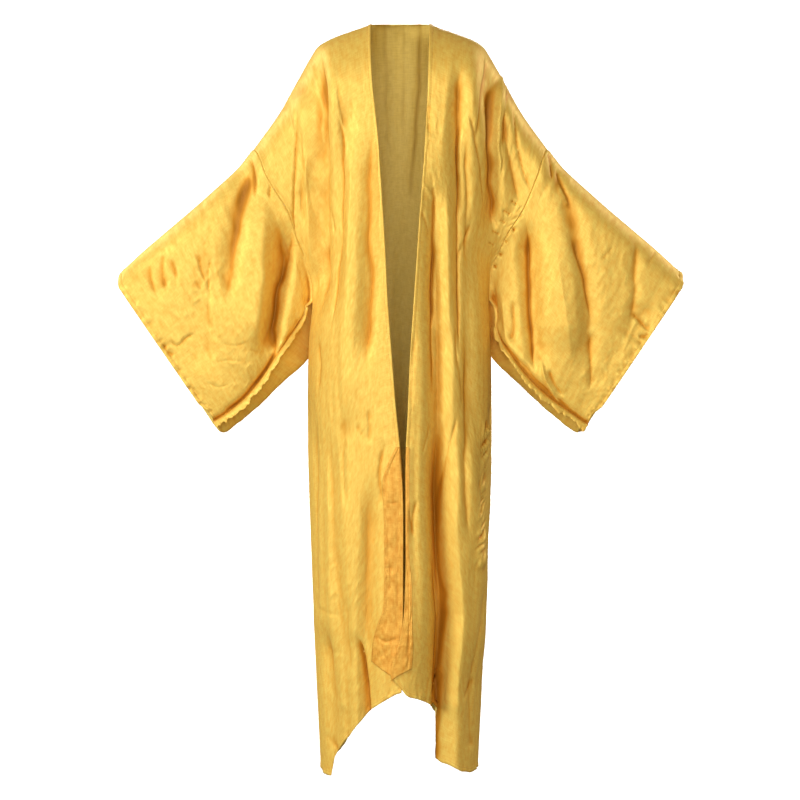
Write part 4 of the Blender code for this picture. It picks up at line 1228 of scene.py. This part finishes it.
# Level below the shoulder line, rows per unit of level there
ROW_DENSITY = (
    (0.000, 1.5),
    (0.080, 1.0),
    (0.130, 1.9),
    (0.300, 1.9),
    (0.360, 1.0),
    (0.700, 1.0),
    (0.780, 2.2),
    (1.060, 2.2),
    (1.120, 1.0),
    (1.240, 1.0),
    (1.297, 1.8),
)
# Share of the front's width from the opening, columns per unit of width there
COLUMN_DENSITY = (
    (0.00, 1.0),
    (0.86, 0.9),
    (0.92, 1.9),
    (1.00, 1.9),
)
DENSITY_STEPS = 2000


def uneven_steps(density, count):
    """Steps from the first to the last value of a density table, closer together where it is high."""
    value = np.linspace(density[0][0], density[-1][0], DENSITY_STEPS)
    share = np.cumsum(np.interp(value, [row[0] for row in density], [row[1] for row in density]))
    share = (share - share[0]) / (share[-1] - share[0])
    return np.interp(np.linspace(0.0, 1.0, count + 1), share, value)


def body_rows(count):
    """Levels of a panel's rows, closer together where a seam is gathered and at the hem."""
    rows = uneven_steps(ROW_DENSITY, count)
    rows[0] = SEAM_GAP
    return rows


def seam_puff(distance):
    """Cloth that stands up a little beside a seam, and lies down on the seam itself."""
    return SEAM_PUFF * smooth(distance, 0.0, SEAM_EDGE) * np.exp(-(distance / PUFF_REACH) ** 2)


def body_relief(base, u, drop, to_side, layer, side):
    """How far folds, creases, gathers and the bottom hem of a body panel move each point out."""
    calm = smooth(drop, 0.0, SEAM_CALM) * smooth(to_side, 0.0, SEAM_CALM)
    fine_calm = smooth(drop, 0.0, CREASE_CALM) * smooth(to_side, 0.0, CREASE_CALM)
    small = creases(base, layer, side) + ripples(u, drop, layer, side)
    small = small + crumple_height(base, u, drop, layer, side)
    relief = fold_shift(base, layer, side, LONG_FOLDS) * calm + small * fine_calm
    relief = relief + gather_height(base, layer, side) * smooth(to_side, 0.0, SEAM_EDGE)
    relief = relief + seam_puff(to_side) * smooth(drop, 0.0, PUFF_START)
    return relief + hem_height(BODY_LENGTH - drop, u, HEM_PUCKER, SEEDS[layer]["hem"] + side)


def front_panel(side):
    """A front with its folds, creases, gathers and hems: points, flat coordinates and relief."""
    columns = uneven_steps(COLUMN_DENSITY, FRONT_COLUMNS) * (1.0 - SEAM_GAP)
    drop, across = np.meshgrid(body_rows(FRONT_ROWS), columns, indexing="ij")
    base = front_base(side, across, drop)
    u = across * SHOULDER_WIDTH
    relief = body_relief(base, u, drop, (1.0 - across) * SHOULDER_WIDTH, "front", side)
    edge = hem_height(u, drop, EDGE_PUCKER, SEEDS["front"]["edge"] + side)
    relief = relief + edge * smooth(drop, 0.0, EDGE_START)
    return base - side * outward(base, False) * relief[..., None], u, drop, relief


def back_panel():
    """The back with its folds, creases, gathers and hem: points, flat coordinates and relief."""
    across = np.linspace(SEAM_GAP - BODY_HALF, BODY_HALF - SEAM_GAP, BACK_COLUMNS + 1)
    drop, girth = np.meshgrid(body_rows(BACK_ROWS), across, indexing="ij")
    base = back_base(girth, drop)
    u = girth + 0.5
    relief = body_relief(base, u, drop, BODY_HALF - np.abs(girth), "back", 0)
    return base + outward(base, False) * relief[..., None], u, drop, relief


panels = {"back": back_panel()}
pieces = {"back": cloth("back_cloth", panels["back"], False, False, GOLD, GOLD_WRONG)}
for side, label in SIDES:
    name = "front_" + label
    panels[name] = front_panel(side)
    pieces[name] = cloth("front_cloth_" + label, panels[name], False, side == LEFT, GOLD, GOLD_WRONG)

# %% [markdown]
# ## The sleeves
# Both sleeves share the functions above. Their grids run from the armhole to the cuff and all the way
# round, with the underarm seam where the grid closes. The front layer tucks in just above that seam.

# %% Sleeve grids
SLEEVE_ROWS = 150
SLEEVE_COLUMNS = 240
TUCK_DEPTH = 0.009
TUCK_REACH = 0.010
TUCK_START = 0.1
TUCK_EDGE = 0.004
# Shares of the girth over which the long folds, and then the creases, fade at the upper fold and at the seam
FOLD_CALM = 0.08
TOP_CALM = 0.02
UNDERARM_CALM = 0.012
# Share of the length from the armhole, and of the way round from the underarm seam: steps per unit there
SLEEVE_LENGTH_DENSITY = (
    (0.00, 2.4),
    (0.05, 2.4),
    (0.08, 0.9),
    (0.94, 0.9),
    (0.97, 1.5),
    (1.00, 1.5),
)
SLEEVE_GIRTH_DENSITY = (
    (0.00, 1.6),
    (0.05, 1.8),
    (0.08, 2.0),
    (0.29, 2.0),
    (0.33, 0.8),
    (0.95, 0.7),
    (1.00, 1.6),
)


def sleeve_panel(side):
    """A sleeve with its folds and creases, as closed rings from the armhole to the cuff."""
    rows = np.maximum(uneven_steps(SLEEVE_LENGTH_DENSITY, SLEEVE_ROWS), SEAM_GAP / SLEEVE_SIZE)
    columns = uneven_steps(SLEEVE_GIRTH_DENSITY, SLEEVE_COLUMNS)[:-1]
    length, girth = np.meshgrid(rows, columns, indexing="ij")
    base = sleeve_base(side, length, girth)
    u, v = length * SLEEVE_SIZE, girth * 2.0 * SLEEVE_SIZE
    folds, lines, patches, gathers = np.zeros((4,) + length.shape)
    for layer, here in (("sleeve_front", girth < 0.5), ("sleeve_back", girth >= 0.5)):
        folds += here * fold_shift(base, layer, side, LONG_FOLDS)
        lines += here * creases(base, layer, side)
        patches += here * crumple_height(base, u, v, layer, side)
        gathers += here * gather_height(base, layer, side)
    to_top, to_seam = np.abs(girth - 0.5), 0.5 - np.abs(girth - 0.5)
    calm = smooth(u, 0.0, SEAM_CALM) * smooth(to_top, 0.0, FOLD_CALM) * smooth(to_seam, 0.0, FOLD_CALM)
    fine_calm = smooth(u, 0.0, CREASE_CALM) * smooth(to_top, 0.0, TOP_CALM)
    fine_calm = fine_calm * smooth(to_seam, 0.0, UNDERARM_CALM)
    tuck = TUCK_DEPTH * np.exp(-(v / TUCK_REACH) ** 2)
    tuck = tuck * smooth(length, 0.0, TUCK_START) * smooth(v, 0.0, TUCK_EDGE)
    relief = folds * calm - tuck + (lines + ripples(u, v, "sleeve_front", side) + patches) * fine_calm
    relief = relief + gathers * smooth(u, 0.0, SEAM_EDGE) + seam_puff(u)
    relief = relief + hem_height(SLEEVE_SIZE - u, v, CUFF_PUCKER, SEEDS["sleeve_front"]["hem"] + side)
    return base - side * outward(base, True) * relief[..., None], u, v, relief


for side, label in SIDES:
    name = "sleeve_" + label
    panels[name] = sleeve_panel(side)
    pieces[name] = cloth("sleeve_cloth_" + label, panels[name], True, side == LEFT, GOLD, GOLD_WRONG)

# %% [markdown]
# ## The turned-out front edges
# In the lower half the two front edges have turned outwards, so that a strip of facing shows. Each strip is
# made from the front's own points, moved out just past the cloth it lies on. Two rows of stitches pucker
# it.

# %% Facing strips
# Level below the shoulder line, width on the wearer's right and left
FACING_WIDTHS = (
    (0.820, 0.010, 0.008),
    (0.850, 0.030, 0.009),
    (0.880, 0.045, 0.010),
    (0.930, 0.047, 0.010),
    (1.020, 0.047, 0.009),
    (1.080, 0.048, 0.017),
    (1.130, 0.052, 0.021),
    (1.160, 0.067, 0.024),
    (1.186, 0.079, 0.030),
    (1.215, 0.084, 0.037),
    (1.247, 0.087, 0.042),
    (1.300, 0.087, 0.044),
)
FACING_TOP = 0.820
FACING_LIFT = 0.0026
FACING_GAP = 0.0012
FACING_PUCKER = 0.0003
FACING_RIPPLE = 0.0006
# Length and width of the facing's ripples in metres, and shares of its length in which it rises and they
# set in
FACING_WAVE = (0.021, 0.024)
FACING_RISE = 0.2
FACING_CALM = 0.1
# Level of the lower end at the opening and at the turned edge
FACING_BOTTOM = {RIGHT: (1.269, 1.229), LEFT: (1.264, 1.240)}
LEVEL_STEPS = 8
STRIP_ROWS = 200
STRIP_COLUMNS = 24


def facing_panel(side):
    """Turned-out strip along a front edge, made from the panel's own points moved out."""
    down, out = np.meshgrid(np.linspace(0.0, 1.0, STRIP_ROWS + 1), np.linspace(0.0, 1.0, STRIP_COLUMNS + 1),
                            indexing="ij")
    inner, outer = FACING_BOTTOM[side]
    level = FACING_TOP + (inner + (outer - inner) * out - FACING_TOP) * down
    width = along(FACING_WIDTHS, side_column(side), level)
    across = out * width / SHOULDER_WIDTH
    drop = level
    for _ in range(LEVEL_STEPS):
        drop = level - settle(side_column(side), across, drop)
    base = front_base(side, across, drop)
    u = out * width
    seeds = SEEDS["facing"]
    height = FACING_LIFT * smooth(down + out, 0.0, FACING_RISE) + FACING_GAP + HEM_HEIGHT
    height = height + hem_height(width - u, level, FACING_PUCKER, seeds["hem"] + side)
    height = height + crumple_height(base, u, level, "facing", side)
    waves = lattice(level / FACING_WAVE[0], u / FACING_WAVE[1], seeds["ripples"] + side)
    height = height + FACING_RIPPLE * waves * smooth(down, 0.0, FACING_CALM)
    height = height + fold_shift(base, "facing", side, FINE_CREASES, CREASE_SHARP)
    relief = creases(base, "front", side) + height
    out_by = fold_shift(base, "front", side, LONG_FOLDS) + relief
    return base - side * outward(base, False) * out_by[..., None], u, level, relief


for side, label in SIDES:
    name = "facing_" + label
    panels[name] = facing_panel(side)
    pieces[name] = cloth("facing_cloth_" + label, panels[name], False, side == LEFT, FACING_GOLD_PAINTED_SHADE, GOLD)

# %% [markdown]
# ## The underarm seam allowance
# The sleeves were sewn from outside, so along the underarm the two raw edges stand out together as a
# narrow, wavy ridge. It is a strip that starts on the seam and hangs over, with the waves growing towards
# its free edge.

# %% Underarm ridges
RIDGE_WIDTHS = (0.0040, 0.0135)
RIDGE_STARTS = {RIGHT: 0.02, LEFT: 0.055}
RIDGE_ROWS = 260
RIDGE_COLUMNS = 6
RIDGE_THICKNESS = 0.0014
RIDGE_END = 0.992
RIDGE_WAVE = 0.0030
RIDGE_TILT = 0.55
# Lengths in metres of the ridge's long and short waves and of the drift of its width
RIDGE_LONG = 0.0085
RIDGE_SHORT = 0.0042
RIDGE_DRIFT = 0.018
RIDGE_SINK = 0.001
RIDGE_CLEAR = 0.0004


def ridge_panel(side):
    """Strip that stands out from the underarm seam and hangs over: points, flat coordinates, no relief."""
    length, up = np.meshgrid(np.linspace(RIDGE_STARTS[side], RIDGE_END, RIDGE_ROWS + 1),
                             np.linspace(0.0, 1.0, RIDGE_COLUMNS + 1), indexing="ij")
    seam = sleeve_base(side, length, np.zeros_like(length))
    above = sleeve_base(side, length, np.full_like(length, 0.02))
    run = np.gradient(seam, axis=0)
    run = run / np.linalg.norm(run, axis=-1, keepdims=True)
    below = seam - above
    below = below - run * (below * run).sum(axis=-1, keepdims=True)
    below = below / np.linalg.norm(below, axis=-1, keepdims=True)
    out = np.cross(run, below) * side
    out = out * np.where(out[..., 1:2] > 0.0, -1.0, 1.0)
    travel = length * SLEEVE_SIZE
    seeds = SEEDS["ridge"]
    waves = lattice(travel / RIDGE_LONG, up * 0.4, seeds["long"] + side)
    waves = waves + 0.5 * lattice(travel / RIDGE_SHORT, up * 0.4, seeds["short"] + side)
    drift = 1.0 + 0.25 * lattice(travel / RIDGE_DRIFT, up * 0.0, seeds["width"] + side)
    narrow, wide = RIDGE_WIDTHS
    width = (narrow + (wide - narrow) * length) * drift
    hang_over = up * width * math.cos(RIDGE_TILT) * (1.0 + 0.25 * waves)
    stand = up * width * math.sin(RIDGE_TILT) * (1.6 - 0.6 * up) + RIDGE_CLEAR
    stand = stand + RIDGE_WAVE * waves * up ** 1.3
    points = seam + below * (hang_over - RIDGE_SINK)[..., None] + out * stand[..., None]
    return points, up * width, travel, np.zeros_like(length)


ridges = {}
for side, label in SIDES:
    ridges[label] = cloth("underarm_seam_" + label, ridge_panel(side), False, side == RIGHT, GOLD, GOLD)
    ridges[label].modifiers["Cloth"].thickness = RIDGE_THICKNESS

# %% [markdown]
# ## Stitches
# Hems and facings are sewn with a run of small machine stitches: thread that dives under the cloth every
# three millimetres, so each stitch shows as a short raised grain. A Geometry Nodes tree takes the seam as a
# chain of edges, makes it a curve, cuts it into equal steps, and sets a grain of thread on each, turned
# along the seam. Hand-placed copies would be thousands of objects; the tree gives one mesh.

# %% Stitch tree
STITCH_SPACING = 0.0030
STITCH_LENGTH = 0.0021
STITCH_WIDTH = 0.0006
STITCH_LIFT = 0.0004
STITCH_SEED = 12
GRAIN_FACES = 20
# Least and most share of its length that a stitch has
STITCH_UNEVEN = (0.8, 1.15)
# Rows of the facing's grid left without stitches at its upper and its lower end
STITCH_START, STITCH_END = 8.0, 2.0
# Share of the facing's width at which its inner row of stitches runs
FACING_FOLD_ROW = 0.12
THREAD = plain("polyester_thread_amber", "#C08A34", 0.6)


def stitch_tree():
    """Nodes that sow stitches along a chain of edges; gives the tree and its inputs' identifiers by name."""
    tree = bpy.data.node_groups.new("stitch_run", "GeometryNodeTree")
    tree.interface.new_socket("Seam", in_out="INPUT", socket_type="NodeSocketGeometry")
    names = {}
    for name, kind in (("Spacing", "Float"), ("Length", "Float"), ("Width", "Float"), ("Seed", "Int")):
        socket = tree.interface.new_socket(name, in_out="INPUT", socket_type="NodeSocket" + kind)
        names[name] = socket.identifier
    tree.interface.new_socket("Stitches", in_out="OUTPUT", socket_type="NodeSocketGeometry")
    given = add(tree, "NodeGroupInput").outputs

    curve = add(tree, "GeometryNodeMeshToCurve", Mesh=given["Seam"])
    steps = add(tree, "GeometryNodeResampleCurve", {"mode": "LENGTH"}, Curve=curve.outputs["Curve"],
                Length=given["Spacing"])
    tangent = add(tree, "GeometryNodeInputTangent")
    turned = add(tree, "FunctionNodeAlignRotationToVector", {"axis": "X"},
                 Vector=tangent.outputs["Tangent"])
    uneven = add(tree, "FunctionNodeRandomValue", {"data_type": "FLOAT"},
                 {2: STITCH_UNEVEN[0], 3: STITCH_UNEVEN[1]}, Seed=given["Seed"])
    long = add(tree, "ShaderNodeMath", {"operation": "MULTIPLY"}).inputs
    tree.links.new(given["Length"], long[0])
    tree.links.new(uneven.outputs[1], long[1])
    size = add(tree, "ShaderNodeCombineXYZ", X=long[0].node.outputs["Value"], Y=given["Width"],
               Z=given["Width"])
    grain = add(tree, "GeometryNodeMeshIcoSphere", inputs={"Radius": 0.5, "Subdivisions": 1})
    sown = add(tree, "GeometryNodeInstanceOnPoints", Points=steps.outputs["Curve"],
               Instance=grain.outputs["Mesh"], Rotation=turned.outputs["Rotation"],
               Scale=size.outputs["Vector"])
    real = add(tree, "GeometryNodeRealizeInstances", Geometry=sown.outputs["Instances"])
    painted = add(tree, "GeometryNodeSetMaterial", inputs={"Material": THREAD},
                  Geometry=real.outputs["Geometry"])
    add(tree, "NodeGroupOutput", Stitches=painted.outputs["Geometry"])
    return tree, names


def trace(panel, sign, rows, columns, closed=False):
    """Points just above a panel's outer face, along rows and columns of its grid that need not be whole."""
    points = panel[0] + outward(panel[0], closed) * (sign * STITCH_LIFT)
    rows, columns = (part.astype(float) for part in np.broadcast_arrays(rows, columns))
    row = np.clip(np.floor(rows).astype(int), 0, points.shape[0] - 2)
    column = np.floor(columns).astype(int)
    if closed:
        column, beside = column % points.shape[1], (column + 1) % points.shape[1]
    else:
        column = np.clip(column, 0, points.shape[1] - 2)
        beside = column + 1
    down, across = (rows - row)[:, None], (columns - np.floor(columns))[:, None]
    near = points[row, column] * (1.0 - across) + points[row, beside] * across
    far = points[row + 1, column] * (1.0 - across) + points[row + 1, beside] * across
    return near * (1.0 - down) + far * down


def grid_place(value, steps):
    """Where a value falls among the steps of a grid, counted in steps."""
    return np.interp(value, steps, np.arange(len(steps)))


def seam_lines():
    """Every run of stitches on the robe, as arrays of points."""
    levels = body_rows(FRONT_ROWS)
    hem_level = BODY_LENGTH - HEM_WIDTH
    hem_row = grid_place(hem_level, levels)
    edge_column = grid_place(HEM_WIDTH / SHOULDER_WIDTH, uneven_steps(COLUMN_DENSITY, FRONT_COLUMNS))
    cuff_row = grid_place(1.0 - HEM_WIDTH / SLEEVE_SIZE, uneven_steps(SLEEVE_LENGTH_DENSITY, SLEEVE_ROWS))
    back_row = grid_place(hem_level, body_rows(BACK_ROWS))
    lines = [trace(panels["back"], 1.0, back_row, np.arange(1.0, BACK_COLUMNS))]
    for side, label in SIDES:
        front = panels["front_" + label]
        lines.append(trace(front, -side, hem_row, np.arange(edge_column, FRONT_COLUMNS)))
        lines.append(trace(front, -side, np.arange(2.0, np.searchsorted(levels, FACING_TOP)), edge_column))
        lines.append(trace(panels["sleeve_" + label], -side, cuff_row, np.arange(0.0, SLEEVE_COLUMNS), True))
        facing = panels["facing_" + label]
        rows = np.arange(STITCH_START, STRIP_ROWS - STITCH_END)
        widths = facing[1][rows.astype(int), -1]
        for inset in (FACING_FOLD_ROW, 1.0 - HEM_WIDTH / 2.0 / widths):
            lines.append(trace(facing, -side, rows, np.clip(inset, 0.0, 1.0) * STRIP_COLUMNS))
    return lines


chain = bpy.data.meshes.new("stitches")
runs = seam_lines()
starts = np.cumsum([0] + [len(run) for run in runs])
edges = [(start + i, start + i + 1) for start, run in zip(starts, runs) for i in range(len(run) - 1)]
chain.from_pydata(np.concatenate(runs).tolist(), edges, [])
stitches = bpy.data.objects.new("stitches", chain)
show(stitches)
tree, names = stitch_tree()
sower = stitches.modifiers.new("Stitches", "NODES")
sower.node_group = tree
for name, value in (("Spacing", STITCH_SPACING), ("Length", STITCH_LENGTH), ("Width", STITCH_WIDTH),
                    ("Seed", STITCH_SEED)):
    sower[names[name]] = value
bpy.context.view_layer.update()
sewn = bpy.data.meshes.new_from_object(stitches.evaluated_get(bpy.context.evaluated_depsgraph_get()))
stitches.modifiers.remove(sower)
stitches.data = sewn
sewn.shade_smooth()
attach(stitches, "root")
print("stitches:", len(sewn.polygons) // GRAIN_FACES, "faces:", len(sewn.polygons))

# %% [markdown]
# ## What each piece stands for
# Every piece rides on the one body and replaces its solid, which is hidden. The cut sizes are those of the
# flat cloth: the back and fronts taper to the hem, and the sleeves are square.

# %% Ride and replace
for node, piece in pieces.items():
    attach(piece, "root")
    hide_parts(node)
    trims = [ridges[node.split("_")[1]]] if node.startswith("sleeve") else []
    for trim in trims:
        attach(trim, "root")

# %% [markdown]
# ## Camera and light
# The photograph looks straight at the robe from the front, from far enough away that near and far parts are
# almost the same size. One pixel of its 800 is 1.95 mm, so the view is 1.56 m across.

# %% Camera
PIXEL = 0.00195
VIEW_WIDTH = 800 * PIXEL
VIEW_DISTANCE = 4.5
SENSOR_MM = 36.0
# Middle of the view, x and z
VIEW_MIDDLE = (-0.001, -0.731)
camera_data = bpy.data.cameras.new("front_camera")
camera_data.sensor_width = SENSOR_MM
camera_data.lens = SENSOR_MM * VIEW_DISTANCE / VIEW_WIDTH
camera = bpy.data.objects.new("front_camera", camera_data)
camera.location = (VIEW_MIDDLE[0], -VIEW_DISTANCE, VIEW_MIDDLE[1])
camera.rotation_euler = (math.pi / 2.0, 0.0, 0.0)
show(camera)
bpy.context.scene.camera = camera
print("lens mm:", round(camera_data.lens, 1))

# %% Floor, backdrop and lights
FLOOR_LEVEL = -1.60
FLOOR_HALF = 9.0
# Floor seen from the side: y and the height above its level
FLOOR_PROFILE = ((-9.0, 0.0), (2.2, 0.0), (2.9, 0.12), (3.4, 0.5), (3.6, 1.1), (3.6, 6.0))
WARM_AIR = (1.0, 0.78, 0.50, 1.0)
AIR_STRENGTH = 0.20
# Name, place, aim, size, power in watts
LAMPS = (
    ("front_lamp", (-0.2, -4.6, 0.1), (0.0, 0.0, -0.7), 2.6, 122.0),
    ("side_lamp", (-3.2, -2.4, 0.3), (0.0, 0.0, -0.8), 1.2, 88.0),
    ("back_lamp", (0.3, 3.2, 1.0), (0.0, 0.0, -0.7), 0.6, 30.0),
    ("backdrop_lamp_right", (-2.6, 1.4, 1.2), (-1.4, 3.6, -0.7), 1.6, 130.0),
    ("backdrop_lamp_left", (2.6, 1.4, 1.2), (1.4, 3.6, -0.7), 1.6, 130.0),
)


def studio_floor():
    """Pale floor that sweeps up behind the robe."""
    points = [(x, y, FLOOR_LEVEL + z) for y, z in FLOOR_PROFILE for x in (-FLOOR_HALF, FLOOR_HALF)]
    starts = range(0, len(points) - 2, 2)
    mesh = bpy.data.meshes.new("studio_floor")
    mesh.from_pydata(points, [], [(start, start + 1, start + 3, start + 2) for start in starts])
    mesh.shade_smooth()
    mesh.materials.append(plain("studio_paint_white", "#FFFFFF", 0.9))
    floor = bpy.data.objects.new("studio_floor", mesh)
    floor.visible_diffuse = False
    floor.visible_glossy = False
    show(floor)


def area_light(name, place, aim, size, power):
    """Soft square lamp at a place, turned to a point."""
    data = bpy.data.lights.new(name, "AREA")
    data.shape = "SQUARE"
    data.size = size
    data.energy = power
    lamp = bpy.data.objects.new(name, data)
    lamp.location = place
    direction = np.array(aim) - np.array(place)
    yaw = math.atan2(direction[0], -direction[1])
    pitch = math.atan2(math.hypot(direction[0], direction[1]), -direction[2])
    lamp.rotation_euler = (pitch, 0.0, yaw + math.pi)
    show(lamp)


studio_floor()
for lamp_row in LAMPS:
    area_light(*lamp_row)
world = bpy.data.worlds.new("studio_air")
world.use_nodes = True
world.node_tree.nodes["Background"].inputs["Color"].default_value = WARM_AIR
world.node_tree.nodes["Background"].inputs["Strength"].default_value = AIR_STRENGTH
bpy.context.scene.world = world
bpy.context.scene.view_settings.view_transform = "Standard"
print("lamps:", len(LAMPS))
